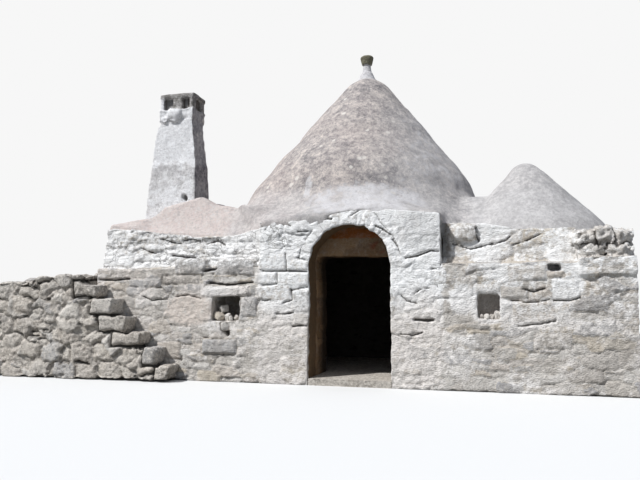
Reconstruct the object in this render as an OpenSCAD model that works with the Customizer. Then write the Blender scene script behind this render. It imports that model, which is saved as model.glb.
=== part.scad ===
// Trullo house: a dry-stone dwelling with a corbelled cone, two low wings and a side stair.
// Origin at ground level under the tip of the main cone. The facade faces -Y, +X is to its right.

/* [Room and walls] */
// Width and depth of the square room
room_w = 2700; // [2400:10:3000]
// Thickness of the front wall
front_wall_t = 950; // [850:10:1100]
// Thickness of the walls between the room and the alcoves
side_wall_t = 730; // [650:10:850]
// Thickness of the room's rear wall
rear_wall_t = 900; // [750:10:1050]
// Height of each of the two corner courses
corner_course_h = 150; // [120:5:170]
// Reach of the first corner course across the room's corner
first_corner_reach = 420; // [300:10:600]
// Thickness of the floors
floor_t = 60; // [40:5:100]

/* [Doorway] */
// Distance of the doorway's centre to the right of the cone's axis
door_x = 230; // [100:5:300]
// Width of the doorway
door_w = 1150; // [1000:10:1250]
// Height at which the entrance arch springs
arch_spring_h = 1630; // [1500:10:1680]
// Thickness of the arch ring
arch_ring_t = 150; // [110:5:180]
// Height by which the arch ring stands above the bay's masonry
arch_hump = 85; // [50:5:120]
// Depth of the arched recess in front of the door wall
arch_depth = 400; // [300:10:480]
// Number of wedge stones in the arch
arch_stones = 13; // [9:2:17]
// Width of the grooves between the arch stones
arch_groove_w = 10; // [6:1:16]
// Height of the door lintel's underside above the arch's springing
lintel_rise = 165; // [110:5:200]
// Height of the door lintel
lintel_h = 240; // [180:5:280]
// Bearing of the lintel on each jamb
lintel_bearing = 150; // [100:10:250]
// Height of the threshold stone
threshold_h = 90; // [70:5:130]

/* [Entrance bay] */
// Width of the bay's masonry to the left of the doorway
bay_left_w = 745; // [650:5:850]
// Width of the bay's masonry to the right of the doorway
bay_right_w = 671; // [560:1:740]

/* [Alcoves] */
// Depth of both alcoves, front to back
alcove_d = 1100; // [1000:10:1200]
// Width of the left alcove
left_alcove_w = 940; // [850:10:1000]
// Width of the right alcove
right_alcove_w = 1120; // [1000:10:1160]
// Thickness of the wings' rear walls
wing_rear_t = 750; // [650:10:850]
// Width of the arches that open from the room into the alcoves
alcove_arch_w = 860; // [700:10:940]
// Height at which the alcove arches spring
alcove_spring_h = 1150; // [1000:10:1250]

/* [Left wing] */
// Thickness of the left end wall at the ground
left_end_t = 740; // [650:10:850]
// Inward lean of the left end above the ledge
left_lean = 160; // [80:10:220]
// Height of the wings' ledge above the arch's springing
ledge_rise = 10; // [0:5:60]
// Set-back of the left upper wall behind the ledge
left_setback = 90; // [50:5:150]
// Height of the left upper walls above the ledge
left_upper_h = 470; // [400:10:540]
// Backward lean of the upper walls' faces
upper_lean = 50; // [20:5:80]
// Rise of the left roof's plaster bed towards its far end
left_roof_rise = 180; // [130:10:220]
// Depth of the left roof's plaster bed at the bay
left_roof_bed = 40; // [30:5:60]

/* [Left niche] */
// Distance between the bay's left edge and the left niche
left_niche_gap = 290; // [200:5:400]
// Width of the left niche
left_niche_w = 430; // [360:10:480]
// Height of the left niche's sill
left_niche_z = 870; // [800:10:930]
// Height of the left niche
left_niche_h = 335; // [280:5:380]
// Depth of the left niche
left_niche_d = 500; // [350:10:560]
// Height of the stone over the left niche
left_niche_lintel_h = 175; // [120:5:200]
// Bearing of that stone on each side
left_niche_bearing = 35; // [25:5:60]
// Depth of that stone
left_niche_lintel_d = 260; // [180:10:320]

/* [Vault and chimney] */
// Radius of the left vault's outer foot
mound_r = 1040; // [1000:10:1100]
// Rise of the left vault above the walls
mound_rise = 720; // [680:10:780]
// Distance of the left vault's centre to the left of the alcove's centre
mound_shift = 50; // [20:5:70]
// Thickness of the left vault at its top
mound_t = 280; // [240:10:330]
// Height of the plaster bank beside the chimney's front, above the walls
bank_rise = 690; // [620:5:740]
// Height of that bank at the chimney's outer corner, above the walls
bank_left_rise = 400; // [320:5:460]
// Height of that bank at the entrance bay, above the walls
bank_right_rise = 430; // [340:5:480]
// Distance of the bank's highest point to the right of the chimney's centre
bank_peak_shift = 510; // [470:5:560]
// Sharpness of the bank's hollow curve
bank_power = 1.5; // [1.2:0.1:2.4]
// Width of the chimney at its foot
chimney_foot_w = 950; // [900:10:1000]
// Width of the chimney under its collar
chimney_top_w = 580; // [560:1:620]
// Depth of the chimney at its foot
chimney_foot_d = 490; // [470:10:540]
// Depth of the chimney under its collar
chimney_top_d = 430; // [420:5:460]
// Distance of the chimney's top to the left of the alcove's centre
chimney_offset = 260; // [240:2:280]
// Distance of the chimney's foot to the left of its top
chimney_foot_shift = 70; // [40:2:90]
// Distance of the chimney's front face behind the facade
chimney_inset = 600; // [560:5:640]
// Height of the chimney's tapered stack
chimney_stack_h = 1975; // [1800:5:2150]
// Height of the chimney's collar
chimney_collar_h = 185; // [140:5:210]
// Overhang of the collar around the stack
chimney_collar_out = 22; // [10:1:35]
// Height of the smoke vents under the cap slab
chimney_vent_h = 195; // [150:5:240]
// Thickness of the chimney's cap slab
chimney_cap_t = 60; // [40:5:80]
// Width of the flue
flue_w = 360; // [300:10:380]
// Depth of the flue
flue_d = 230; // [180:10:240]
// Bedding gap between the chimney and the vault around it
chimney_bed = 0.5; // [0.3:0.1:0.8]

/* [Right wing] */
// Thickness of the right end wall
right_end_t = 610; // [520:10:700]
// Set-back of the right upper wall behind the ledge
right_setback = 190; // [140:5:240]
// Height of the right upper walls above the ledge
right_upper_h = 450; // [400:10:520]
// Length of the slab course at the right corner
slab_course_l = 640; // [520:10:700]
// Depth of the slab course's underside below the ledge
slab_course_drop = 175; // [120:5:200]
// Height of the slab course
slab_course_h = 235; // [180:5:260]
// Overhang of the slab course in front of the wall
slab_course_out = 40; // [20:5:60]
// Height of the rough stones above the slab course
end_stones_h = 340; // [280:5:380]

/* [Right niche and slots] */
// Distance between the bay's right edge and the right niche
right_niche_gap = 444; // [350:2:520]
// Width of the right niche
right_niche_w = 290; // [240:10:340]
// Height of the right niche's sill
right_niche_z = 920; // [850:10:980]
// Height of the right niche
right_niche_h = 310; // [260:5:360]
// Depth of the right niche
right_niche_d = 280; // [200:10:360]
// Thickness of the plate over the right niche
right_niche_plate_t = 30; // [20:2:45]
// Width of the putlog slot under the right ledge
slot_w = 156; // [120:2:180]
// Height of the putlog slot
slot_h = 84; // [60:2:90]
// Depth of the putlog slot
slot_d = 320; // [200:10:400]
// Height of the course over the putlog slot
slot_cover_h = 22; // [16:1:40]
// Distance between the putlog slot and the slab course
slot_gap = 219; // [160:1:400]

/* [Small cone] */
// Slope radius of the small cone at its foot
small_cone_r = 1160; // [1120:10:1180]
// Height of the small cone above the right wing's walls, up to its tip before rounding
small_cone_rise = 1250; // [1150:5:1330]
// Height of the plaster saddle between the two cones, above the right wing's walls
saddle_rise = 650; // [560:5:700]
// Reach of the saddle to the front and to the rear
saddle_spread = 1150; // [1050:5:1200]
// Rounding of the small cone's tip
small_tip_r = 190; // [150:10:240]

/* [Main cone] */
// Set-back of the cone's upright foot from the side walls' faces
cone_setback = 215; // [180:5:260]
// Height of the upright foot
cone_foot_h = 570; // [500:10:640]
// Steepness of the cone where its foot ends
cone_foot_angle = 75; // [72:0.5:79]
// Height of the swelling shoulder between the foot and the straight flank
shoulder_rise = 740; // [660:2:820]
// Steepness of the straight flank
flank_angle = 50.5; // [48:0.5:53]
// Radius at which the flank turns into the crown
crown_start_r = 420; // [390:5:440]
// Radius of the crown's rounding
crown_round_r = 920; // [800:10:1000]
// Steepness of the crown beside the finial
crown_end_angle = 26.5; // [22:0.5:32]
// Height of one stone course inside the cone
course_h = 150; // [140:1:151]
// Thickness of the cone's stonework
cone_t = 480; // [440:10:540]
// Radius of the hole that the key stone closes
key_hole_r = 170; // [140:5:200]

/* [Roof apron] */
// Width over which the plaster apron thins out
apron_spread = 895; // [860:5:1000]
// Thickness of the apron at its outer edge
apron_edge_t = 15; // [10:1:30]
// Sharpness of the apron's hollow curve
apron_power = 3; // [2:0.1:4]
// Width over which the plaster thins out above the wings
wing_fillet_spread = 885; // [800:5:950]
// Sharpness of the hollow curve above the wings
wing_fillet_power = 2; // [1.6:0.1:3]

/* [Finial] */
// Radius of the finial's neck at its narrowest
neck_r = 62; // [50:1:75]
// Height of the neck
neck_h = 235; // [180:5:280]
// Radius of the finial's cap at its underside
cap_low_r = 88; // [76:1:95]
// Radius of the finial's cap near its top
cap_high_r = 116; // [100:1:130]
// Height of the finial's cap
cap_h = 150; // [120:5:180]

/* [Stair and terrace] */
// Height of each step
riser = 235; // [220:1:240]
// Length of each step
going = 248; // [230:1:262]
// Number of treads below the landing
treads = 6; // [4:1:6]
// Length of the landing in front of the house
landing_l = 72; // [40:1:150]
// Width of the stair
stair_w = 350; // [300:10:450]
// Thickness of the tread slabs
tread_t = 120; // [90:5:140]
// Nosing of the tread slabs
nosing = 18; // [0:1:30]
// Height of the last rise, up to the landing
last_riser = 150; // [100:5:190]
// Thickness of the terrace wall
terrace_t = 700; // [600:10:800]
// Length of the terrace wall beside the house
terrace_l = 2440; // [2000:10:3200]
// Fall of the terrace wall towards its far end
terrace_fall = 170; // [80:10:260]

/* [Hidden] */
$fn = 180;

// Room and main block, in plan
room_half = room_w / 2;
facade_y = -(room_half + front_wall_t);
door_wall_y = facade_y + arch_depth;
cell_x = room_half + side_wall_t;
cell_rear = room_half + rear_wall_t;
main_top = arch_spring_h + door_w / 2 + arch_ring_t - arch_hump;
room_wall_h = main_top - 2 * corner_course_h;
ledge_h = arch_spring_h + ledge_rise;
door_left = door_x - door_w / 2;
door_right = door_x + door_w / 2;
bay_left = bay_left_w - door_left;
bay_right = door_right + bay_right_w;
main_plan = [[-bay_left, facade_y], [bay_right, facade_y], [bay_right, -room_half],
    [cell_x, -room_half], [cell_x, cell_rear], [-cell_x, cell_rear],
    [-cell_x, -room_half], [-bay_left, -room_half]];

// Doorway and arch
arch_out_r = door_w / 2 + arch_ring_t;
lintel_left = door_left - lintel_bearing;
lintel_right = door_right + lintel_bearing;
lintel_z = arch_spring_h + lintel_rise;
lintel_top = lintel_z + lintel_h;

// Alcoves and wings
alcove_rear = -room_half + alcove_d;
alcove_mid_y = -room_half + alcove_d / 2;
wing_rear = alcove_rear + wing_rear_t;
left_alcove_end = -cell_x - left_alcove_w;
right_alcove_end = cell_x + right_alcove_w;
left_end = left_alcove_end - left_end_t;
right_end = right_alcove_end + right_end_t;
left_mid_x = -cell_x - left_alcove_w / 2;
right_mid_x = cell_x + right_alcove_w / 2;
left_wall_h = ledge_h + left_upper_h;
left_roof_high = left_wall_h + left_roof_rise;
right_wall_h = ledge_h + right_upper_h;
slab_start = right_end - slab_course_l;
slab_course_z = ledge_h - slab_course_drop;
slab_course_top = slab_course_z + slab_course_h;
end_stones_top = slab_course_top + end_stones_h;
left_niche_x = bay_left + left_niche_gap + left_niche_w / 2;
right_niche_x = bay_right + right_niche_gap + right_niche_w / 2;
slot_x = slab_start - slot_gap - slot_w / 2;
slot_z = ledge_h - slot_cover_h - slot_h;
mound_x = mound_shift - left_mid_x;
half_diagonal_left = norm([left_alcove_w / 2 + mound_shift, alcove_d / 2]);
half_diagonal_right = norm([right_alcove_w / 2, alcove_d / 2]);
vault_ledge = 20;

// Chimney
chimney_x = chimney_offset - left_mid_x;
chimney_front = -facade_y - chimney_inset;
chimney_collar_z = left_wall_h + chimney_stack_h;
flue_mid_y = -chimney_front + chimney_top_d / 2 + (chimney_foot_d - chimney_top_d) / 2;
chimney_mid_y = -chimney_front + chimney_foot_d / 2;
posts_z = chimney_collar_z + chimney_collar_h;
cap_z = posts_z + chimney_vent_h;
post_d = 110;
side_post_w = 60;
mid_post_w = 125;
shoulder_share = 0.62;
shoulder_bulge = 36;

// Main cone
cone_foot_r = cell_x - cone_setback;
cone_foot_z = main_top + cone_foot_h;
apron_r = cone_foot_r + apron_spread;
shoulder_r = shoulder_rise / (cos(flank_angle) - cos(cone_foot_angle));
shoulder_start_r = cone_foot_r - shoulder_r * (sin(cone_foot_angle) - sin(flank_angle));
shoulder_start_z = cone_foot_z + shoulder_rise;
crown_start_z = shoulder_start_z + (shoulder_start_r - crown_start_r) * tan(flank_angle);
crown_end_r = crown_start_r - crown_round_r * (sin(flank_angle) - sin(crown_end_angle));
crown_end_z = crown_start_z + crown_round_r * (cos(crown_end_angle) - cos(flank_angle));
courses = floor((crown_start_z - main_top) / course_h);
lower_courses = ceil(courses / 3);
middle_courses = ceil((courses - lower_courses) / 2);
crown_z = main_top + courses * course_h;

// Stair and terrace
stair_front = facade_y - stair_w;
landing_x = left_end + landing_l;
stair_foot_x = -(landing_x + treads * going);
landing_h = treads * riser + last_riser;

// Radius of the main cone's outside at a height z
function cone_radius(z) =
    z <= cone_foot_z ? cone_foot_r
    : z >= crown_start_z ? crown_radius(z)
    : z >= shoulder_start_z ? shoulder_start_r - (z - shoulder_start_z) / tan(flank_angle)
    : cone_foot_r - shoulder_r * (sin(cone_foot_angle) - sin(shoulder_angle(z)));

// Steepness of the shoulder at a height z
function shoulder_angle(z) = acos(cos(cone_foot_angle) + (z - cone_foot_z) / shoulder_r);

// Radius of the rounded crown at a height z
function crown_radius(z) = crown_start_r - crown_round_r
    * (sin(flank_angle) - sin(acos(min(1, cos(flank_angle) + (z - crown_start_z) / crown_round_r))));

// Radius inside the corbelled cone for the course whose top is at z
function corbel_radius(z) = max(key_hole_r, min(room_half, cone_radius(z) - cone_t));

// Height of the plaster apron at a distance r from the cone's axis
function apron_z(r) = main_top + apron_edge_t + (cone_foot_z - main_top - apron_edge_t)
    * pow(max(0, (apron_r - r) / (apron_r - cone_foot_r)), apron_power);

// Points of an arc round [0, mid] with a radius, from one angle to another
function arc(mid, radius, from, to, steps) =
    [for (i = [0:steps]) [radius * cos(from + (to - from) * i / steps),
        mid + radius * sin(from + (to - from) * i / steps)]];

// Box between two corners
module block(low, high) {
    translate(low) cube(high - low);
}

// Outline in X and Z, carried along Y
module along_y(y0, y1) {
    translate([0, y1, 0]) rotate([90, 0, 0]) linear_extrude(y1 - y0) children();
}

// Outline in Y and Z, carried along X
module along_x(x0, x1) {
    translate([x0, 0, 0]) rotate([90, 0, 90]) linear_extrude(x1 - x0) children();
}

// Disc that fills the entrance arch out to a radius
module arch_disc(radius, y0, y1) {
    translate([door_x, y1, arch_spring_h]) rotate([90, 0, 0]) cylinder(r = radius, h = y1 - y0);
}

module main_floor() {
    color([0.55, 0.51, 0.45]) block([-room_half, -room_half, 0], [room_half, room_half, floor_t]);
}

// Floor of one alcove with its strip under the arch
module alcove_floor(side, far) {
    arch_lo = alcove_mid_y - alcove_arch_w / 2;
    arch_hi = alcove_mid_y + alcove_arch_w / 2;
    linear_extrude(floor_t) polygon([[side * room_half, arch_lo], [side * cell_x, arch_lo],
        [side * cell_x, -room_half], [far, -room_half], [far, alcove_rear],
        [side * cell_x, alcove_rear], [side * cell_x, arch_hi], [side * room_half, arch_hi]]);
}

module alcove_floors() {
    color([0.55, 0.51, 0.45]) {
        alcove_floor(-1, left_alcove_end);
        alcove_floor(1, right_alcove_end);
    }
}

module threshold_stone() {
    color([0.6, 0.56, 0.5])
        block([door_left, facade_y, 0], [door_right, -room_half, threshold_h]);
}

module bay_left_pier() {
    color([0.88, 0.88, 0.87])
        block([-bay_left, facade_y, 0], [door_left, door_wall_y, arch_spring_h]);
}

module bay_right_pier() {
    color([0.88, 0.88, 0.87])
        block([door_right, facade_y, 0], [bay_right, door_wall_y, arch_spring_h]);
}

// Jamb of the door wall, notched at its top for the lintel
module door_jamb(outer, inner, seat) {
    along_y(door_wall_y, -room_half) polygon([[outer, 0], [inner, 0], [inner, lintel_z],
        [seat, lintel_z], [seat, lintel_top], [outer, lintel_top]]);
}

module left_door_jamb() {
    color([0.7, 0.64, 0.54]) door_jamb(-bay_left, door_left, lintel_left);
}

module right_door_jamb() {
    color([0.7, 0.64, 0.54]) door_jamb(bay_right, door_right, lintel_right);
}

// Grooves between the arch stones, cut into the face of the ring
module arch_grooves() {
    groove_depth = arch_groove_w;
    for (i = [1:arch_stones - 1])
        translate([door_x, facade_y, arch_spring_h]) rotate([0, -180 * i / arch_stones, 0])
            translate([0, -1, -arch_groove_w / 2]) cube([arch_out_r * 1.2, groove_depth + 1, arch_groove_w]);
}

module entrance_arch() {
    color([0.9, 0.9, 0.88]) difference() {
        arch_disc(arch_out_r, facade_y, door_wall_y);
        arch_disc(door_w / 2, facade_y - 1, door_wall_y + 1);
        block([door_x - arch_out_r - 1, facade_y - 1, 0],
            [door_x + arch_out_r + 1, door_wall_y + 1, arch_spring_h]);
        translate([0, 0, main_top]) cylinder(r = cone_foot_r, h = cone_foot_h);
        arch_grooves();
    }
}

// Masonry of the bay beside the arch ring
module spandrel(x0, x1) {
    difference() {
        block([x0, facade_y, arch_spring_h], [x1, door_wall_y, main_top]);
        arch_disc(arch_out_r, facade_y - 1, door_wall_y + 1);
    }
}

module bay_left_spandrel() {
    color([0.88, 0.88, 0.87]) spandrel(-bay_left, door_x);
}

module bay_right_spandrel() {
    color([0.88, 0.88, 0.87]) spandrel(door_x, bay_right);
}

module door_lintel() {
    color([0.42, 0.35, 0.28])
        block([lintel_left, door_wall_y, lintel_z], [lintel_right, -room_half, lintel_top]);
}

module tympanum_wall() {
    color([0.4, 0.3, 0.2])
        block([-bay_left, door_wall_y, lintel_top], [bay_right, -room_half, main_top]);
}

module left_front_wall() {
    niche_top = left_niche_z + left_niche_h;
    niche_half = left_niche_w / 2;
    stone_half = niche_half + left_niche_bearing;
    color([0.78, 0.74, 0.68]) difference() {
        block([left_end, facade_y, 0], [-bay_left, -room_half, ledge_h]);
        block([-left_niche_x - niche_half, facade_y - 1, left_niche_z],
            [-left_niche_x + niche_half, facade_y + left_niche_d, niche_top]);
        block([-left_niche_x - stone_half, facade_y - 1, niche_top],
            [-left_niche_x + stone_half, facade_y + left_niche_lintel_d, niche_top + left_niche_lintel_h]);
    }
}

module left_niche_lintel() {
    niche_top = left_niche_z + left_niche_h;
    stone_half = left_niche_w / 2 + left_niche_bearing;
    color([0.8, 0.77, 0.72]) block([-left_niche_x - stone_half, facade_y, niche_top],
        [-left_niche_x + stone_half, facade_y + left_niche_lintel_d, niche_top + left_niche_lintel_h]);
}

// Outline of the leaning left end from the ledge up to a height
module left_end_outline(top, inner) {
    lean = left_lean * (top - ledge_h) / (left_roof_high - ledge_h);
    polygon([[left_end, ledge_h], [left_end + lean, top], [inner, top], [inner, ledge_h]]);
}

// Outline of an upper front wall that leans back from the ledge
module upper_outline(setback, top, inner) {
    polygon([[facade_y + setback, ledge_h], [facade_y + setback + upper_lean, top],
        [inner, top], [inner, ledge_h]]);
}

module left_upper_wall() {
    color([0.9, 0.88, 0.82]) difference() {
        intersection() {
            along_y(facade_y, -room_half) left_end_outline(left_wall_h, -bay_left);
            along_x(left_end - 1, -bay_left + 1) upper_outline(left_setback, left_wall_h, -room_half);
        }
        flue_hole(ledge_h - 1, left_wall_h + 1);
        block([-chimney_x - flue_w / 2, flue_mid_y, ledge_h - 1],
            [-chimney_x + flue_w / 2, -room_half + 1, left_wall_h + 1]);
    }
}

module left_side_wall() {
    lean = left_lean * (left_wall_h - ledge_h) / (left_roof_high - ledge_h);
    color([0.85, 0.82, 0.76]) along_y(-room_half, alcove_rear) polygon([[left_end, 0],
        [left_end, ledge_h], [left_end + lean, left_wall_h], [left_alcove_end, left_wall_h],
        [left_alcove_end, 0]]);
}

module left_rear_wall() {
    lean = left_lean * (left_wall_h - ledge_h) / (left_roof_high - ledge_h);
    color([0.85, 0.82, 0.76]) along_y(alcove_rear, wing_rear) polygon([[left_end, 0],
        [left_end, ledge_h], [left_end + lean, left_wall_h], [-cell_x, left_wall_h], [-cell_x, 0]]);
}

// Outer or inner body of the left vault, a low dome over the alcove
module left_dome(radius, rise) {
    ball = (radius * radius + rise * rise) / (2 * rise);
    mid = rise - ball;
    start = asin(-mid / ball);
    translate([-mound_x, alcove_mid_y, left_wall_h])
        rotate_extrude() polygon(concat([[0, 0]], arc(mid, ball, start, 90, 14)));
}

// Plaster that sweeps from the main cone's foot down to a wing's walls, between two corners in plan
module wing_fillet(base, low, high) {
    steps = 8;
    curve = [for (i = [0:steps]) let(t = i / steps) [cone_foot_r + wing_fillet_spread * t,
        base + (cone_foot_z - base) * pow(1 - t, wing_fillet_power)]];
    intersection() {
        rotate_extrude() polygon(concat([[0, base], [0, cone_foot_z]], curve));
        block([low[0], low[1], base], [high[0], high[1], cone_foot_z + 1]);
    }
}

// Plaster banked up against the chimney's front, in front of the left vault
module chimney_bank() {
    steps = 6;
    front = facade_y + left_setback + upper_lean;
    top = left_wall_h + bank_rise;
    peak_x = -chimney_x + bank_peak_shift;
    slope = [for (i = [0:steps]) let(t = i / steps)
        [front - (chimney_front + front) * t, left_wall_h + bank_rise * pow(t, bank_power)]];
    crest = [for (i = [0:steps]) let(t = i / steps)
        [peak_x + (door_left - peak_x) * t,
        left_wall_h + bank_right_rise + (bank_rise - bank_right_rise) * pow(1 - t, 2)]];
    intersection() {
        along_x(left_end, door_left) polygon(concat(slope, [[chimney_mid_y, top],
            [alcove_mid_y, left_wall_h + bank_right_rise], [alcove_mid_y, left_wall_h]]));
        along_y(facade_y, alcove_mid_y) polygon(concat([[left_end + left_lean, left_wall_h],
            [left_end + left_lean, left_roof_high],
            [-chimney_x - chimney_foot_shift - chimney_foot_w / 2, left_wall_h + bank_left_rise]],
            crest, [[door_left, left_wall_h]]));
    }
}

// Plaster that fills the valley between the two cones
module cone_saddle() {
    steps = 6;
    hump = [for (i = [-steps:steps]) [alcove_mid_y + saddle_spread * i / steps,
        right_wall_h + saddle_rise * (1 + cos(180 * i / steps)) / 2]];
    along_x(door_right, right_mid_x) polygon(hump);
}

module left_roof_fill() {
    lean_low = left_lean * (left_wall_h - ledge_h) / (left_roof_high - ledge_h);
    setback = left_setback + upper_lean;
    color([0.83, 0.77, 0.7]) difference() {
        union() {
            along_y(facade_y + setback, wing_rear) polygon([[left_end + lean_low, left_wall_h],
                [left_end + left_lean, left_roof_high], [-left_niche_x, left_wall_h + left_roof_bed],
                [-bay_left, left_wall_h + left_roof_bed], [-bay_left, left_wall_h]]);
            wing_fillet(left_wall_h, [left_mid_x, facade_y + setback], [-bay_left, wing_rear]);
            chimney_bank();
        }
        main_mass();
        linear_extrude(cone_foot_z + 1) polygon(main_plan);
        left_dome(mound_r, mound_rise);
        chimney_mass(chimney_bed);
        block([left_alcove_end, -room_half, left_wall_h - 1], [-cell_x, alcove_rear, left_roof_high + 1]);
    }
}

// The block of masonry that carries the main cone, with the cone's upright foot
module main_mass() {
    linear_extrude(main_top) polygon(main_plan);
    cylinder(r = cone_foot_r, h = cone_foot_z + mound_rise);
}

module left_vault() {
    color([0.84, 0.78, 0.73]) difference() {
        left_dome(mound_r, mound_rise);
        left_dome(half_diagonal_left + vault_ledge, mound_rise - mound_t);
        main_mass();
        chimney_mass(chimney_bed);
    }
}

// Rectangular flue between two heights
module flue_hole(z0, z1) {
    block([-chimney_x - flue_w / 2, flue_mid_y - flue_d / 2, z0],
        [-chimney_x + flue_w / 2, flue_mid_y + flue_d / 2, z1]);
}

// Tapered body of the chimney with its swelling shoulder, grown by a bedding gap for its seat
module chimney_mass(bed = 0) {
    low = left_wall_h - bed;
    top = chimney_collar_z;
    mid = left_wall_h + chimney_stack_h * shoulder_share;
    foot_half = chimney_foot_w / 2 + bed;
    top_half = chimney_top_w / 2 + bed;
    mid_half = foot_half + (top_half - foot_half) * shoulder_share + shoulder_bulge;
    mid_shift = chimney_foot_shift * (1 - shoulder_share);
    foot_depth = chimney_foot_d / 2 + bed;
    top_depth = chimney_top_d / 2 + bed;
    intersection() {
        along_y(chimney_mid_y - chimney_foot_d, chimney_mid_y + chimney_foot_d)
            translate([-chimney_x, 0]) polygon([[-foot_half - chimney_foot_shift, low],
                [foot_half - chimney_foot_shift, low],
                [mid_half - mid_shift, mid], [top_half, top], [-top_half, top],
                [-mid_half - mid_shift, mid]]);
        along_x(-chimney_x - chimney_foot_w, -chimney_x + chimney_foot_w)
            translate([chimney_mid_y, 0]) polygon([[-foot_depth, low], [foot_depth, low],
                [top_depth, top], [-top_depth, top]]);
    }
}

module chimney_stack() {
    color([0.88, 0.87, 0.84]) difference() {
        chimney_mass();
        flue_hole(left_wall_h - 1, chimney_collar_z + 1);
    }
}

module chimney_collar() {
    half_w = chimney_top_w / 2 + chimney_collar_out;
    half_d = chimney_top_d / 2 + chimney_collar_out;
    color([0.9, 0.88, 0.84]) difference() {
        block([-chimney_x - half_w, chimney_mid_y - half_d, chimney_collar_z],
            [-chimney_x + half_w, chimney_mid_y + half_d, posts_z]);
        flue_hole(chimney_collar_z - 1, posts_z + 1);
    }
}

module chimney_posts() {
    half_w = chimney_top_w / 2;
    color([0.87, 0.85, 0.8]) for (side = [-1, 1], x = [-half_w + side_post_w / 2, 0, half_w - side_post_w / 2]) {
        width = x == 0 ? mid_post_w : side_post_w;
        y = chimney_mid_y + side * (chimney_top_d - post_d) / 2;
        block([-chimney_x + x - width / 2, y - post_d / 2, posts_z],
            [-chimney_x + x + width / 2, y + post_d / 2, cap_z]);
    }
}

module chimney_cap() {
    half_w = chimney_top_w / 2 + chimney_collar_out / 2;
    half_d = chimney_top_d / 2 + chimney_collar_out / 2;
    color([0.6, 0.57, 0.45]) block([-chimney_x - half_w, chimney_mid_y - half_d, cap_z],
        [-chimney_x + half_w, chimney_mid_y + half_d, cap_z + chimney_cap_t]);
}

module right_front_wall() {
    niche_top = right_niche_z + right_niche_h;
    niche_half = right_niche_w / 2;
    color([0.78, 0.74, 0.68]) difference() {
        along_y(facade_y, -room_half) polygon([[bay_right, 0], [right_end, 0],
            [right_end, slab_course_z], [slab_start, slab_course_z], [slab_start, ledge_h],
            [bay_right, ledge_h]]);
        block([right_niche_x - niche_half, facade_y - 1, right_niche_z],
            [right_niche_x + niche_half, facade_y + right_niche_d, niche_top + right_niche_plate_t]);
        block([right_niche_x - niche_half - right_niche_plate_t, facade_y - 1, niche_top],
            [right_niche_x + niche_half + right_niche_plate_t, facade_y + right_niche_d,
            niche_top + right_niche_plate_t]);
        block([slot_x - slot_w / 2, facade_y - 1, slot_z],
            [slot_x + slot_w / 2, facade_y + slot_d, slot_z + slot_h]);
    }
}

module right_niche_plate() {
    niche_top = right_niche_z + right_niche_h;
    half = right_niche_w / 2 + right_niche_plate_t;
    color([0.7, 0.66, 0.6]) block([right_niche_x - half, facade_y, niche_top],
        [right_niche_x + half, facade_y + right_niche_d, niche_top + right_niche_plate_t]);
}

module right_upper_wall() {
    color([0.84, 0.81, 0.76]) along_x(bay_right, slab_start)
        upper_outline(right_setback, right_wall_h, -room_half);
}

module right_slab_course() {
    color([0.76, 0.73, 0.68]) block([slab_start, facade_y - slab_course_out, slab_course_z],
        [right_end, -room_half, slab_course_top]);
}

module right_end_stones() {
    setback = right_setback / 2;
    color([0.75, 0.71, 0.66]) along_x(slab_start, right_end) polygon([[facade_y + setback, slab_course_top],
        [facade_y + setback + upper_lean, end_stones_top], [-room_half, right_wall_h],
        [-room_half, slab_course_top]]);
}

module right_side_wall() {
    color([0.8, 0.77, 0.71])
        block([right_alcove_end, -room_half, 0], [right_end, alcove_rear, right_wall_h]);
}

module right_rear_wall() {
    color([0.8, 0.77, 0.71]) block([cell_x, alcove_rear, 0], [right_end, wing_rear, right_wall_h]);
}

// Outline of the small cone: straight flank and rounded tip
module small_cone_body(radius, rise, tip) {
    slope = atan(rise / radius);
    ball = tip / sin(slope);
    mid = rise - ball * (1 / cos(slope) - 1) - ball;
    translate([right_mid_x, alcove_mid_y, right_wall_h])
        rotate_extrude() polygon(concat([[0, 0], [radius, 0]], arc(mid, ball, 90 - slope, 90, 6)));
}

module right_cone() {
    inner_r = half_diagonal_right + vault_ledge;
    color([0.8, 0.78, 0.76]) difference() {
        small_cone_body(small_cone_r, small_cone_rise, small_tip_r);
        small_cone_body(inner_r, small_cone_rise * inner_r / small_cone_r - vault_ledge, small_tip_r);
        main_mass();
    }
}

// Wall between the room and an alcove, with its arch
module alcove_wall(x0, x1) {
    difference() {
        block([x0, -room_half, 0], [x1, cell_rear, room_wall_h]);
        block([x0 - 1, alcove_mid_y - alcove_arch_w / 2, -1],
            [x1 + 1, alcove_mid_y + alcove_arch_w / 2, alcove_spring_h]);
        translate([x0 - 1, alcove_mid_y, alcove_spring_h]) rotate([0, 90, 0])
            cylinder(r = alcove_arch_w / 2, h = x1 - x0 + 2);
    }
}

module main_left_wall() {
    color([0.83, 0.8, 0.74]) alcove_wall(-cell_x, -room_half);
}

module main_right_wall() {
    color([0.83, 0.8, 0.74]) alcove_wall(room_half, cell_x);
}

module main_rear_wall() {
    color([0.8, 0.77, 0.71])
        block([-room_half, room_half, 0], [room_half, cell_rear, room_wall_h]);
}

// Square of the room with its corners cut off
module cut_square(reach) {
    h = room_half;
    c = h - reach;
    polygon([[c, -h], [h, -c], [h, c], [c, h], [-c, h], [-h, c], [-h, -c], [-c, -h]]);
}

// One course of the slabs that turn the square room into an octagon
module corner_course(reach, z0) {
    translate([0, 0, z0]) linear_extrude(corner_course_h) difference() {
        translate([-cell_x, -room_half]) square([2 * cell_x, room_half + cell_rear]);
        cut_square(reach);
    }
}

module corner_slabs() {
    color([0.8, 0.77, 0.72]) {
        corner_course(first_corner_reach, room_wall_h);
        corner_course(room_half * (2 - sqrt(2)), room_wall_h + corner_course_h);
    }
}

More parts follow.
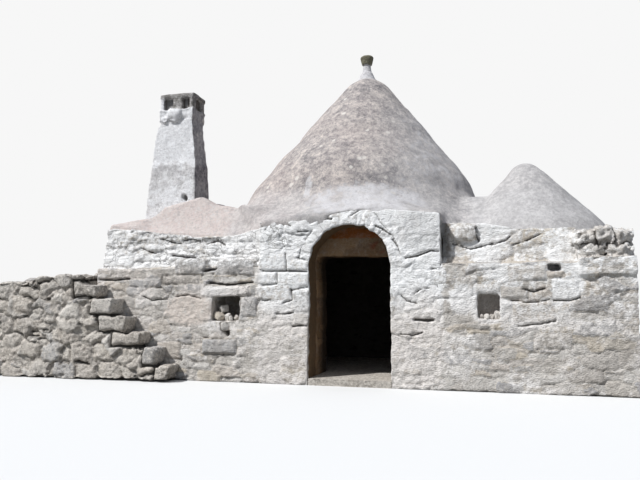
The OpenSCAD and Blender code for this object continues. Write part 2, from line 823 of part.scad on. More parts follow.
// Ring of the main cone between two courses, stepped inside
module cone_ring(first, last) {
    outer = [for (i = [first:last]) [cone_radius(main_top + i * course_h), main_top + i * course_h]];
    steps = [for (i = [last:-1:first + 1], top = [1, 0])
        [corbel_radius(main_top + i * course_h), main_top + (i - 1 + top) * course_h]];
    rotate_extrude() polygon(concat(outer, steps));
}

module main_cone_lower() {
    color([0.7, 0.66, 0.62]) cone_ring(0, lower_courses);
}

module main_cone_middle() {
    color([0.7, 0.66, 0.62]) cone_ring(lower_courses, lower_courses + middle_courses);
}

module main_cone_upper() {
    color([0.7, 0.66, 0.62]) cone_ring(lower_courses + middle_courses, courses);
}

module cone_crown() {
    steps = 6;
    rise = crown_end_z - crown_z;
    side = [for (i = [0:steps]) [cone_radius(crown_z + rise * i / steps), crown_z + rise * i / steps]];
    color([0.68, 0.65, 0.6]) rotate_extrude() polygon(concat([[0, crown_z]], side, [[0, crown_end_z]]));
}

module roof_apron() {
    steps = 8;
    top = [for (i = [0:steps]) let(r = cone_foot_r + (apron_r - cone_foot_r) * i / steps) [r, apron_z(r)]];
    reach = 2 * apron_r;
    color([0.84, 0.83, 0.8]) difference() {
        union() {
            intersection() {
                rotate_extrude() polygon(concat([[cone_foot_r, main_top]], top,
                    [[reach, main_top + apron_edge_t], [reach, main_top]]));
                translate([0, 0, main_top]) linear_extrude(cone_foot_z) polygon(main_plan);
            }
            difference() {
                union() {
                    wing_fillet(right_wall_h, [bay_right, facade_y + right_setback + upper_lean],
                        [right_mid_x, wing_rear]);
                    cone_saddle();
                    intersection() {
                        chimney_bank();
                        linear_extrude(cone_foot_z) polygon(main_plan);
                    }
                }
                main_mass();
            }
        }
        arch_disc(arch_out_r, facade_y - 1, door_wall_y + 1);
        left_dome(mound_r, mound_rise);
        small_cone_body(small_cone_r, small_cone_rise, small_tip_r);
    }
}

module finial_neck() {
    steps = 6;
    side = [for (i = [0:steps]) let(t = i / steps)
        [neck_r + (crown_end_r - neck_r) * pow(1 - t, 2), crown_end_z + neck_h * t]];
    color([0.62, 0.6, 0.55]) rotate_extrude()
        polygon(concat([[0, crown_end_z]], side, [[0, crown_end_z + neck_h]]));
}

module finial_cap() {
    z = crown_end_z + neck_h;
    rounding = cap_h / 6;
    color([0.45, 0.42, 0.32]) translate([0, 0, z]) rotate_extrude() polygon([[0, 0], [cap_low_r, 0],
        [cap_high_r, cap_h - rounding], [cap_high_r - rounding, cap_h], [0, cap_h]]);
}

module stair_base() {
    steps = [for (i = [0:treads - 1], far = [0, 1])
        [-stair_foot_x - (i + far) * going, (i + 1) * riser - tread_t]];
    color([0.65, 0.6, 0.55]) along_y(stair_front, facade_y) polygon(concat(
        [[left_end, 0], [-stair_foot_x, 0]], steps, [[landing_x, landing_h], [left_end, landing_h]]));
}

module stair_treads() {
    color([0.68, 0.64, 0.58]) for (i = [0:treads - 1]) {
        x = -stair_foot_x - i * going;
        top = (i + 1) * riser;
        block([x - going, stair_front, top - tread_t], [x + nosing, facade_y, top]);
    }
}

module terrace_wall() {
    far = left_end - terrace_l;
    color([0.62, 0.58, 0.52]) along_y(stair_front, stair_front + terrace_t) polygon([[far, 0],
        [left_end, 0], [left_end, landing_h], [far, landing_h - terrace_fall]]);
}

main_floor();
alcove_floors();
threshold_stone();
bay_left_pier();
bay_right_pier();
left_door_jamb();
right_door_jamb();
entrance_arch();
bay_left_spandrel();
bay_right_spandrel();
door_lintel();
tympanum_wall();
left_front_wall();
left_niche_lintel();
left_upper_wall();
left_side_wall();
left_rear_wall();
left_roof_fill();
left_vault();
chimney_stack();
chimney_collar();
chimney_posts();
chimney_cap();
right_front_wall();
right_niche_plate();
right_upper_wall();
right_slab_course();
right_end_stones();
right_side_wall();
right_rear_wall();
right_cone();
main_left_wall();
main_right_wall();
main_rear_wall();
corner_slabs();
main_cone_lower();
main_cone_middle();
main_cone_upper();
cone_crown();
roof_apron();
finial_neck();
finial_cap();
stair_base();
stair_treads();
terrace_wall();
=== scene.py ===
import math

import bmesh
import bpy
import numpy as np
from mathutils import Euler, Matrix, Vector


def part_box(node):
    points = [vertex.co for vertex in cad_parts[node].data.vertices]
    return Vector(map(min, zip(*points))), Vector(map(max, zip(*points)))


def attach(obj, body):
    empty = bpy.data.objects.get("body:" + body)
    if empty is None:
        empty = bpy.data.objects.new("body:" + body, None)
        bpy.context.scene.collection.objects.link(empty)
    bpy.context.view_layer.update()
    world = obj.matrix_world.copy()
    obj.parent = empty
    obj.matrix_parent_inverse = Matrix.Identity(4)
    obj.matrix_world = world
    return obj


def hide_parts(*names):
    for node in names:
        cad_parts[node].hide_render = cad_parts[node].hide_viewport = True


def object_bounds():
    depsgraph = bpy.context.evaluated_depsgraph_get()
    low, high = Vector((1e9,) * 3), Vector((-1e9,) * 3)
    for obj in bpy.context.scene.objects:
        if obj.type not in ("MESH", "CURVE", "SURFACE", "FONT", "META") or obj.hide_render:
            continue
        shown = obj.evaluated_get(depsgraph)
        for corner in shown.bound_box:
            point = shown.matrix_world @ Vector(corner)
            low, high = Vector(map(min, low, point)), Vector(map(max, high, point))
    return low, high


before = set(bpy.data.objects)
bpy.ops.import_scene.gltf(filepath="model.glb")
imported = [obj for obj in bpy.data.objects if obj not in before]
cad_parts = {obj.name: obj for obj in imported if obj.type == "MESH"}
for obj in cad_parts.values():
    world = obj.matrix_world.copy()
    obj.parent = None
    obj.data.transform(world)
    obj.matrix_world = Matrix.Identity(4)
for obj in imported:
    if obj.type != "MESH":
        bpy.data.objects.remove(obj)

cad_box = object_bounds()
cad_low, cad_high = (np.array(corner, float) for corner in cad_box)

# Camera, as measured from the photo
CAMERA_PLACE = (2.22, -10.54, 1.16)
CAMERA_PITCH = 95.53
CAMERA_YAW = 16.2
LENS = 34.875

# Length, depth and height of a stone in each kind of masonry
COURSE = (0.37, 0.37, 0.175)
REAR_COURSE = (0.46, 0.46, 0.21)
TERRACE_COURSE = (0.35, 0.35, 0.23)
DOOR_COURSE = (0.6, 0.6, 0.24)

# How far each metre of a stone's height leans back
OVERHANG = 0.07
# How much the large noise and the small noise bend the edges
WIDE_BEND = 0.018
FINE_BEND = 0.007

# How far the roofs reach into the walls, and walls into their neighbours
BED = 0.09
SEAM = 0.06
# Thickness of the arch's ring of stones
ARCH_RING = 0.15
# How far the left wing's top corner leans to the left, and the cone's tip to the right
WING_LEAN = 0.1
TIP_LEAN = 0.04
# How far a point of a room's wall may lie outside its floor
WALL_SLACK = 0.02
# How rounded the large and the loose stones are: 1 is a ball, 0 a cube
BOULDER_ROUNDNESS = 0.6
LOOSE_ROUNDNESS = 0.45
# Stones in the arch's ring, and steps of the stair
ARCH_STONES = 21
STEPS = 6
# Height from which the cone runs up to a point
TIP_Z = 4.9
# Height below which the chimney's limewash is worn, and the place of its middle post
WORN_Z = 3.45
MIDDLE_POST_X = -2.79
# The core between the chimney's posts, painted dark as the shade in the smoke openings: half its width, its
# front and its rear
CORE = (0.255, -1.63, -1.28)

# Sun: strength, softness, tilt and turn in degrees
SUN_STRENGTH = 4.0
SUN_SOFTNESS = 2.5
SUN_TILT = 42
SUN_TURN = -42
# Light of the sky, and the pale background that the camera sees
SKY = (0.32, 0.35, 0.41, 1)
BACKDROP = (0.93, 0.93, 0.93, 1)
# Light that the floor throws back, its colour to the camera, and how far it reaches
FLOOR_BOUNCE = (0.22, 0.22, 0.21, 1)
FLOOR_COLOUR = (0.74, 0.74, 0.73, 1)
FLOOR_REACH = 60

# Places read off the frame, in metres
facade_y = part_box("left_front_wall")[0].y
ledge_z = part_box("left_front_wall")[1].z
main_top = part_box("main_cone_lower")[0].z
left_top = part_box("left_upper_wall")[1].z
right_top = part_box("right_upper_wall")[1].z
bay_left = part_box("bay_left_pier")[0].x
bay_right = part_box("bay_right_pier")[1].x
walls_back_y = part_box("left_front_wall")[1].y
left_front_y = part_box("left_roof_fill")[0].y
left_rear_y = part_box("left_rear_wall")[1].y
door_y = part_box("door_lintel")[0].y
collar_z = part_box("chimney_collar")[0].z
posts_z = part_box("chimney_posts")[0].z
cap_low, cap_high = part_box("chimney_cap")
cap_z = cap_low.z
chimney_x = (cap_low.x + cap_high.x) / 2
arch_low, arch_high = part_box("entrance_arch")
arch_x = (arch_low.x + arch_high.x) / 2
arch_r = (arch_high.x - arch_low.x) / 2
spring_z = arch_low.z


# Random numbers and noise

def random_at(cells, seed):
    """One number from 0 to 1 for each row of whole-numbered cells."""
    n = cells.astype(np.int64)
    h = (n[:, 0] * 73856093) ^ (n[:, 1] * 19349663) ^ (n[:, 2] * 83492791) ^ (seed * 668265263)
    h = (h & 0xFFFFFFFF) * 1274126177 & 0xFFFFFFFF
    h = (h ^ (h >> 15)) * 2246822519 & 0xFFFFFFFF
    h = (h ^ (h >> 13)) * 3266489917 & 0xFFFFFFFF
    return ((h ^ (h >> 16)) & 0xFFFFFF) / float(0x1000000)


def noise(points, size, seed, octaves=3):
    """Smooth noise from -1 to 1 with features about as large as size."""
    total = np.zeros(len(points))
    weight = 0.0
    for octave in range(octaves):
        p = points * (2 ** octave / size)
        base = np.floor(p)
        f = p - base
        f = f * f * (3 - 2 * f)
        value = np.zeros(len(points))
        for corner in range(8):
            step = np.array([corner & 1, corner >> 1 & 1, corner >> 2])
            share = np.prod(np.where(step, f, 1 - f), axis=1)
            value += share * random_at(base + step, seed + octave)
        total += (value * 2 - 1) * 0.5 ** octave
        weight += 0.5 ** octave
    return total / weight


def noise_3d(points, size, seed):
    """Smooth noise in three directions."""
    return np.stack([noise(points, size, seed + k, 2) for k in range(3)], 1)


def smooth(low, high, x):
    """Rises smoothly from 0 at low to 1 at high."""
    t = np.clip((x - low) / (high - low), 0, 1)
    return t * t * (3 - 2 * t)


def stones(points, size, seed):
    """Cells of stonework in shifted courses.

    Gives for each point the distance to the nearest joint, how level that joint runs, two numbers
    of the stone it lies in, and its height above the stone's middle."""
    squareness = 4.0
    jitter = 0.75
    size = np.array(size, float)
    wide = noise_3d(points, 0.35, seed + 1) * size * 0.24
    fine = noise_3d(points, 0.08, seed + 4) * size[2] * 0.13
    p = (points + wide + fine) / size
    row = np.floor(p[:, 2])
    count = len(p)
    best = np.full(count, 1e9)
    second = np.full(count, 1e9)
    best_away = np.zeros((count, 3))
    second_away = np.zeros((count, 3))
    tone = np.zeros(count)
    pick = np.zeros(count)
    for dz in (-1, 0, 1):
        r = row + dz
        shift = random_at(np.stack([r * 0, r * 0, r], 1), seed + 11) * 7
        x = p[:, 0] + shift
        y = p[:, 1] + shift
        for dx in (-1, 0, 1):
            for dy in (-1, 0, 1):
                cell = np.stack([np.floor(x) + dx, np.floor(y) + dy, r], 1)
                rand = np.stack([random_at(cell, seed + 20 + k) for k in range(3)], 1)
                seat = cell + 0.5 + (rand - 0.5) * jitter
                away = np.stack([x, y, p[:, 2]], 1) - seat
                dist = (np.abs(away) ** squareness).sum(1) ** (1 / squareness)
                nearer = (dist < best)[:, None]
                later = ((dist >= best) & (dist < second))[:, None]
                second_away = np.where(nearer, best_away, np.where(later, away, second_away))
                best_away = np.where(nearer, away, best_away)
                second = np.where(nearer[:, 0], best, np.minimum(second, dist))
                best = np.minimum(best, dist)
                tone = np.where(nearer[:, 0], random_at(cell, seed + 30), tone)
                pick = np.where(nearer[:, 0], random_at(cell, seed + 31), pick)
    across = (best_away - second_away) * size
    level = across[:, 2] ** 2 / np.maximum((across ** 2).sum(1), 1e-9)
    return (second - best) / 2 * size[2] * 1.3, level, tone, pick, best_away[:, 2] * size[2]


def rubble_pattern(points, size, seed, broken):
    """Stonework in which a share of the large stones is broken into small ones."""
    edge, level, tone, pick, rise = stones(points, size, seed)
    small = stones(points, np.array(size) * (0.6, 0.6, 0.5), seed + 100)
    inside = pick < broken
    nearer = inside & (small[0] < edge)
    return {"edge": np.where(nearer, small[0], edge), "level": np.where(nearer, small[1], level),
            "tone": np.where(inside, small[2], tone), "rise": np.where(inside, small[4], rise)}


def distance_to_line(u, v, line):
    """Distance in a plane from points (u, v) to a line through several points."""
    best = np.full(len(u), 1e9)
    for (u0, v0), (u1, v1) in zip(line[:-1], line[1:]):
        du, dv = u1 - u0, v1 - v0
        t = np.clip(((u - u0) * du + (v - v0) * dv) / (du * du + dv * dv), 0, 1)
        best = np.minimum(best, np.hypot(u - u0 - t * du, v - v0 - t * dv))
    return best


def spot(points, middle, radii):
    """Soft spot: 1 in its middle, 0 outside its radii."""
    away = (points - np.array(middle)) / np.array(radii)
    return 1 - smooth(0.55, 1.0, np.sqrt((away * away).sum(1)))


# Meshes

def new_object(name, data):
    """Object of a mesh, a light or a camera, in the scene. A bmesh is made a mesh first."""
    if isinstance(data, bmesh.types.BMesh):
        whole = data
        data = bpy.data.meshes.new(name)
        whole.to_mesh(data)
        whole.free()
    obj = bpy.data.objects.new(name, data)
    bpy.context.scene.collection.objects.link(obj)
    return obj


def fuse(name, nodes, voxel, grow, rounds, extras, sunk):
    """One closed mesh of even fineness around several frame nodes and the extras.

    The undersides of the sunk nodes reach into the masonry below them."""
    whole = bmesh.new()
    for node in nodes:
        part = bmesh.new()
        part.from_mesh(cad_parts[node].data)
        bmesh.ops.remove_doubles(part, verts=part.verts, dist=1e-5)
        bmesh.ops.recalc_face_normals(part, faces=part.faces)
        part.normal_update()
        for v in part.verts:
            v.co += v.normal * grow
            if node in sunk and min(abs(v.co.z - bed) for bed in (main_top, left_top, right_top)) < 0.01:
                v.co -= Vector((0, 0, BED))
        mesh = bpy.data.meshes.new("part")
        part.to_mesh(mesh)
        part.free()
        whole.from_mesh(mesh)
        bpy.data.meshes.remove(mesh)
    for add, *given in extras:
        add(whole, *given)
    obj = new_object(name, whole)
    mesh = obj.data
    remesh = obj.modifiers.new("remesh", "REMESH")
    remesh.mode = "VOXEL"
    remesh.voxel_size = voxel
    remesh.adaptivity = 0
    if rounds:
        soften = obj.modifiers.new("soften", "SMOOTH")
        soften.factor = 0.5
        soften.iterations = rounds
    bpy.context.view_layer.update()
    done = bpy.data.meshes.new_from_object(obj.evaluated_get(bpy.context.evaluated_depsgraph_get()))
    obj.modifiers.clear()
    obj.data = done
    bpy.data.meshes.remove(mesh)
    done.name = name
    return obj


def blocks(whole, *corners):
    """Adds plain blocks, each between two corners."""
    for low, high in corners:
        low = Vector(low)
        high = Vector(high)
        bmesh.ops.create_cube(whole, size=1, matrix=Matrix.LocRotScale((low + high) / 2, None, high - low))


def add_stone(whole, place, roundness, size=1.0):
    """Adds a ball drawn out towards a cube, put in place by a matrix. Gives its number of points."""
    made = bmesh.ops.create_icosphere(whole, subdivisions=3, radius=1)["verts"]
    for v in made:
        v.co = place @ Vector([math.copysign(abs(c) ** roundness, c) * size for c in v.co])
    return len(made)


def boulders(whole, *eggs):
    """Adds rounded stones, each with its middle, radii and turn."""
    for middle, radii, turn in eggs:
        tilt = Euler((0, math.radians(turn), 0))
        add_stone(whole, Matrix.LocRotScale(middle, tilt, radii), BOULDER_ROUNDNESS)


def prism(whole, outline, y0, y1):
    """Adds a block whose front outline is given in X and Z."""
    faces = [[whole.verts.new((x, y, z)) for x, z in outline] for y in (y0, y1)]
    whole.faces.new(faces[0])
    whole.faces.new(faces[1][::-1])
    for i in range(len(outline)):
        j = (i + 1) % len(outline)
        whole.faces.new((faces[0][i], faces[1][i], faces[1][j], faces[0][j]))


def read_points(obj):
    """Places and normals of all points of a mesh."""
    found = []
    for kind in ("co", "normal"):
        values = np.zeros(len(obj.data.vertices) * 3, np.float32)
        obj.data.vertices.foreach_get(kind, values)
        found.append(values.reshape(-1, 3).astype(float))
    return found


def write_points(obj, co):
    """Puts the points back, never outside the frame's own box."""
    co = np.clip(co, cad_low, cad_high)
    obj.data.vertices.foreach_set("co", co.astype(np.float32).ravel())
    obj.data.update()
    obj.data.shade_smooth()


def mark(obj, **values):
    """Stores one number a point under each name, for the materials."""
    for name, value in values.items():
        attribute = obj.data.attributes.new(name, "FLOAT", "POINT")
        attribute.data.foreach_set("value", np.asarray(value, np.float32))


# Stonework

def set_stones(co, stonework, masks, named):
    """Sets single stones into the stonework of a front face.

    Each has its left, right, lower and upper side, its tone, its limewash and how far it stands out."""
    x, y, z = co.T
    ragged = 0.012 * noise(co, 0.09, 5, 2)
    stonework["open"] = np.zeros(len(co))
    stonework["proud"] = np.zeros(len(co))
    front = y < facade_y + 0.32
    for left, right, low, high, tone, wash, proud in named:
        u = np.maximum(left - x, x - right)
        v = np.maximum(low - z, z - high)
        outside = np.hypot(np.maximum(u, 0), np.maximum(v, 0)) + np.minimum(np.maximum(u, v), 0)
        outside += ragged
        within = (outside < 0) & front
        stonework["tone"][within] = tone
        stonework["rise"][within] = 0
        stonework["edge"][within] = -outside[within]
        stonework["proud"][within] = proud * smooth(0, 0.045, -outside[within])
        masks["wash"][within] = wash
        beside = (outside >= 0) & front
        stonework["edge"][beside] = np.minimum(stonework["edge"][beside], outside[beside])
        rim = front & (np.abs(outside) < 0.03)
        stonework["open"][rim] = np.maximum(stonework["open"][rim], 1 - wash)


def cuts(co, normal, lines, dark, move, reach=0.35):
    """Cuts cracks and open joints into the faces that look forward, within a reach of the facade."""
    front = (normal[:, 1] < -0.35) & (co[:, 1] < facade_y + reach)
    for width, deep, *line in lines:
        near = distance_to_line(co[:, 0], co[:, 2], line)
        ragged = np.maximum(width * (1 + 0.45 * noise(co, 0.06, 80, 2)), 0.004)
        cut = (1 - smooth(0.35, 1.0, near / ragged)) * front
        move -= deep * cut
        np.maximum(dark, cut * min(1.0, deep / 0.02), out=dark)


def hand_made(co):
    """Bends every edge of the building a little, the same way in neighbouring pieces.

    The left wing's top corner leans out to the left, and the cone's tip to the right."""
    x, y, z = co.T
    bent = co + noise_3d(co, 0.6, 201) * WIDE_BEND + noise_3d(co, 0.16, 204) * FINE_BEND
    bent[:, 0] -= WING_LEAN * (smooth(-3.25, -3.6, x) * smooth(1.7, 2.2, z) * smooth(2.9, 2.6, z))
    bent[:, 0] += TIP_LEAN * smooth(3.9, TIP_Z, z) * (x > -1.6)
    return bent


def masonry(obj, seed, size, depth, groove, paint, bulge=0.016, lines=(), named=(), broken=0.45,
            fine=0.008, shape=None):
    """Gives a fused wall its stones: joints of a depth and a width, uneven faces and fine roughness.

    paint gives the masks: limewash, warm colour, stain, and painted shade with a little grime for the
    materials, calm where plaster hides the stones, and coarse where they are rough. shape moves the points
    before they are bent."""
    co, normal = read_points(obj)
    small = smooth(ledge_z - 0.03, ledge_z + 0.03, co[:, 2]) * (co[:, 0] < bay_left)
    work = rubble_pattern(co, size, seed, broken + 0.55 * small)
    masks = paint(co, normal)
    set_stones(co, work, masks, named)
    calm = masks.pop("calm")
    bare = 1 - 0.85 * calm
    coarse = masks.pop("coarse")
    fine = fine * (1 + 3.5 * coarse)
    work["tone"] = np.where(coarse > 0.5, 0.42 + 0.1 * work["tone"], work["tone"])
    gaping = smooth(-0.25, 0.3, noise(co, 0.3, seed + 50)) * (0.3 + 0.7 * work["level"])
    gaping = np.maximum(gaping, work["open"])
    joint = (1 - smooth(0.2, 1.0, work["edge"] / groove)) * gaping * (1 - 0.35 * small)
    rounding = (1 - smooth(0.0, 2.6, work["edge"] / groove)) ** 2
    move = -depth * (0.65 * joint + 0.35 * rounding) * bare
    move += (bulge * (work["tone"] - 0.5) * 2 - OVERHANG * work["rise"] + work["proud"]) * bare
    ridges = np.abs(noise(co, 0.11, seed + 60, 3)) - 0.2
    move += fine * (2.2 * ridges * bare + noise(co, 0.05, seed + 61, 2))
    move += 0.008 * noise(co, 0.22, seed + 70, 2)
    pits = smooth(0.3, 0.55, noise(co, 0.06, seed + 62, 2)) * bare
    move -= fine * 1.3 * pits
    dark = np.minimum(1.3 * joint * bare, 1)
    cuts(co, normal, lines, dark, move)
    np.maximum(dark, (0.45 + 0.2 * coarse) * pits, out=dark)
    if shape is not None:
        shape(co, normal, move)
    write_points(obj, hand_made(co + normal * move[:, None]))
    mark(obj, joint=dark, stone=work["tone"], open=smooth(0.6, 0.15, calm), **masks)


# Marks the room, which the materials paint dark as shade
def inside_house(co):
    """1 within the room and the alcoves, 0 on the outside."""
    room_low, room_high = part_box("main_floor")
    alcove_low, alcove_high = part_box("alcove_floors")
    x, y, z = co.T
    deep = smooth(0.0, 0.3, y - (room_low.y - 0.45))
    room = (np.abs(x) < room_high.x + WALL_SLACK) & (y < room_high.y + WALL_SLACK)
    alcove = (x > alcove_low.x - WALL_SLACK) & (x < alcove_high.x + WALL_SLACK)
    alcove &= (y > alcove_low.y - WALL_SLACK) & (y < alcove_high.y + WALL_SLACK)
    return deep * (room | alcove) * (z < main_top + 2.2)


# Materials

def srgb(r, g, b):
    """Colour as it shows on a screen, made linear."""
    return tuple(((c / 255 + 0.055) / 1.055) ** 2.4 for c in (r, g, b)) + (1,)


class Shader:
    """Short helper that adds nodes to one material or world.

    A colour with three numbers is one on a screen, from 0 to 255, and one with four is linear."""

    def __init__(self, owner):
        owner.use_nodes = True
        self.owner = owner
        self.tree = owner.node_tree
        self.link = self.tree.links.new
        if isinstance(owner, bpy.types.Material):
            self.place = self.tree.nodes.new("ShaderNodeTexCoord").outputs["Object"]

    def node(self, kind, inputs=(), **settings):
        """Adds a node. Its inputs are numbers, or outputs of other nodes."""
        made = self.tree.nodes.new(kind)
        for key, value in settings.items():
            setattr(made, key, value)
        for key, value in dict(inputs).items():
            if isinstance(value, bpy.types.NodeSocket):
                self.link(value, made.inputs[key])
            else:
                made.inputs[key].default_value = value
        return made

    def attribute(self, name):
        return self.node("ShaderNodeAttribute", attribute_name=name).outputs["Fac"]

    def stretched(self, scale):
        return self.node("ShaderNodeMapping", {"Scale": scale, "Vector": self.place}).outputs["Vector"]

    def bent(self, scale, amount, stretch):
        """Stretched place, bent by noise, for ragged patterns."""
        wave = self.node("ShaderNodeTexNoise", {"Scale": scale, "Vector": self.place}).outputs["Color"]
        inputs = {0: wave, 1: (amount, amount, amount), 2: self.stretched(stretch)}
        return self.node("ShaderNodeVectorMath", inputs, operation="MULTIPLY_ADD").outputs["Vector"]

    def noise(self, scale, detail=5, rough=0.6, place=None):
        inputs = {"Scale": scale, "Detail": detail, "Roughness": rough, "Vector": place or self.place}
        return self.node("ShaderNodeTexNoise", inputs).outputs["Fac"]

    def cells(self, scale, feature="F1", place=None):
        inputs = {"Scale": scale, "Vector": place or self.place}
        return self.node("ShaderNodeTexVoronoi", inputs, feature=feature).outputs["Distance"]

    def limits(self, value, low, high, to_low=0.0, to_high=1.0):
        inputs = {"Value": value, "From Min": low, "From Max": high, "To Min": to_low, "To Max": to_high}
        return self.node("ShaderNodeMapRange", inputs, interpolation_type="SMOOTHSTEP").outputs["Result"]

    def math(self, kind, a, b):
        return self.node("ShaderNodeMath", {0: a, 1: b}, operation=kind).outputs[0]

    def mix(self, share, a, b):
        """Mixes a share of b into a."""
        a, b = (srgb(*c) if isinstance(c, tuple) and len(c) == 3 else c for c in (a, b))
        return self.node("ShaderNodeMix", {0: share, 6: a, 7: b}, data_type="RGBA").outputs[2]

    def ramp(self, value, *stops):
        made = self.node("ShaderNodeValToRGB")
        while len(made.color_ramp.elements) < len(stops):
            made.color_ramp.elements.new(1.0)
        for element, (place, colour) in zip(made.color_ramp.elements, stops):
            element.position = place
            element.color = srgb(*colour)
        self.link(value, made.inputs["Fac"])
        return made.outputs["Color"]

    def finish(self, colour, bumps=(), roughness=0.92):
        """Links the colour and the bumps to the material's surface. The first bump lies lowest."""
        surface = self.tree.nodes["Principled BSDF"]
        surface.inputs["Roughness"].default_value = roughness
        surface.inputs["Specular IOR Level"].default_value = 0.2
        self.link(colour, surface.inputs["Base Color"])
        target = surface.inputs["Normal"]
        for height, distance, strength in reversed(bumps):
            inputs = {"Height": height, "Distance": distance, "Strength": strength}
            bump = self.node("ShaderNodeBump", inputs)
            self.link(bump.outputs["Normal"], target)
            target = bump.inputs["Normal"]
        return self.owner


def stone_material(name, colours, joint_colour, wash_colour, warm_colour=(206, 188, 174),
                   stain_colour=(150, 112, 74), grime=0.5, lichen=0.3, grit=0.3, cracks=0.3):
    """Rubble or dressed stone with dirt in its joints, lichen spots, and limewash and painted shade where
    they are marked.
    """
    s = Shader(bpy.data.materials.new(name))
    tone = s.attribute("stone")
    base = s.ramp(tone, *[(i / (len(colours) - 1), c) for i, c in enumerate(colours)])
    cloud = s.noise(3.2, 6, 0.65)
    base = s.mix(s.limits(cloud, 0.35, 0.7, 0.0, grime), base, (150, 141, 130))
    grain = s.noise(24, 8, 0.78)
    base = s.mix(s.limits(grain, 0.48, 0.62, 0.0, 1.4 * grit), base, (220, 213, 203))
    spots = s.noise(11, 8, 0.72, s.stretched((1, 1, 1.7)))
    base = s.mix(s.limits(spots, 0.55, 0.7, 0.0, lichen), base, (104, 98, 88))
    wash = s.attribute("wash")
    ragged = s.math("ADD", wash, s.limits(s.noise(14, 6, 0.7), 0.25, 0.8, -0.35, 0.35))
    base = s.mix(s.limits(ragged, 0.3, 0.75), base, s.mix(s.attribute("warm"), wash_colour, warm_colour))
    veil = s.noise(5.5, 7, 0.7)
    base = s.mix(s.limits(veil, 0.45, 0.75, 0.0, 0.35), base, (186, 180, 174))
    base = s.mix(s.limits(grain, 0.48, 0.38, 0.0, grit), base, (128, 121, 113))
    pits = s.cells(38, place=s.stretched((1, 1, 1.5)))
    speckle = s.math("MULTIPLY", s.limits(pits, 0.1, 0.3, 0.7, 0.0), s.limits(s.noise(6, 4), 0.45, 0.65))
    base = s.mix(speckle, base, (110, 102, 94))
    base = s.mix(s.limits(s.attribute("stain"), 0.05, 0.9), base,
                 s.mix(s.noise(7, 5, 0.7), stain_colour, (96, 84, 68)))
    net = s.cells(6.0, "DISTANCE_TO_EDGE", s.bent(4.0, 0.5, (1, 1, 1.9)))
    broken = s.limits(s.noise(2.4, 4), 0.42, 0.54, 0.0, cracks)
    line = s.math("MULTIPLY", s.limits(net, 0.0, 0.07, 1.0, 0.0), broken)
    base = s.mix(s.math("MULTIPLY", line, s.attribute("open")), base, joint_colour)
    joint = s.limits(s.attribute("joint"), 0.3, 0.95, 0.0, 0.82)
    base = s.mix(joint, base, joint_colour)
    # Painted shade: near black where the shade mask is set, with a little grime on one patch
    base = s.mix(s.math("MULTIPLY", s.attribute("soot"), 0.9), base, (38, 33, 28))
    return s.finish(base, [(grain, 0.022, 0.8), (spots, 0.03, 0.5), (pits, 0.014, 0.5)])


def plaster_material(name, pale, aged, warm_colour=(213, 196, 189), wash_colour=(218, 216, 217),
                     scale=3.0, spots=0.4, spot_colour=(226, 221, 214)):
    """Weathered lime plaster: clouds of tone, a fine grain, lichen spots and worn patches.

    pale and aged are each a dark, a middle and a light colour."""
    s = Shader(bpy.data.materials.new(name))
    age = s.attribute("age")
    clouds = [s.noise(scale, 8, 0.78), s.noise(scale * 2.3, 8, 0.75)]
    cloud = s.math("MULTIPLY", s.math("ADD", clouds[0], clouds[1]), 0.5)
    young = s.ramp(cloud, *zip((0.38, 0.5, 0.61), pale))
    base = s.mix(age, young, s.ramp(cloud, *zip((0.4, 0.5, 0.59), aged)))
    base = s.mix(s.math("MULTIPLY", s.attribute("warm"), 0.85), base,
                 s.mix(s.limits(clouds[1], 0.4, 0.62, 0.0, 0.6), warm_colour, aged[2]))
    rim = s.noise(scale * 5, 8, 0.8)
    base = s.mix(s.limits(rim, 0.51, 0.59, 0.0, spots), base, s.mix(age, pale[0], aged[0]))
    base = s.mix(s.limits(rim, 0.49, 0.41, 0.0, spots), base, s.mix(age, pale[2], aged[2]))
    grain = s.noise(30, 8, 0.8)
    ragged = s.math("ADD", s.attribute("wash"), s.limits(s.noise(9, 8, 0.78), 0.25, 0.8, -0.45, 0.45))
    lime = s.mix(s.limits(rim, 0.4, 0.62, 0.0, 0.35), wash_colour, pale[0])
    base = s.mix(s.limits(ragged, 0.3, 0.8), base, lime)
    base = s.mix(s.limits(grain, 0.49, 0.4, 0.0, 0.4), base, s.mix(age, pale[0], aged[0]))
    fleck = s.math("ADD", s.cells(3.4), s.limits(grain, 0.3, 0.7, -0.06, 0.06))
    base = s.mix(s.math("MULTIPLY", s.limits(fleck, 0.1, 0.14, 0.8, 0.0), age), base, spot_colour)
    # Dark cracks, and painted shade over the chimney's core
    base = s.mix(s.limits(s.attribute("joint"), 0.3, 0.95, 0.0, 0.75), base, (84, 78, 72))
    return s.finish(base, [(grain, 0.02, 0.8), (rim, 0.035, 0.6), (clouds[1], 0.03, 0.3)], 0.95)


def plastered(obj, seed, paint, relief, lump, lines=(), shape=None):
    """Gives a plastered form its hand-made unevenness: fine relief and wide lumps."""
    co, normal = read_points(obj)
    move = lump * noise(co, 0.55, seed, 2) + relief * noise(co, 0.13, seed + 5, 3)
    dark = np.zeros(len(co))
    cuts(co, normal, lines, dark, move, 2.0)
    if shape is not None:
        shape(co, normal, move)
    write_points(obj, hand_made(co + normal * move[:, None]))
    found = paint(co, normal)
    found.pop("calm")
    found.pop("coarse")
    # The painted shade mask is drawn with the dark of the cracks
    mark(obj, joint=np.maximum(dark, found.pop("soot")), **found)


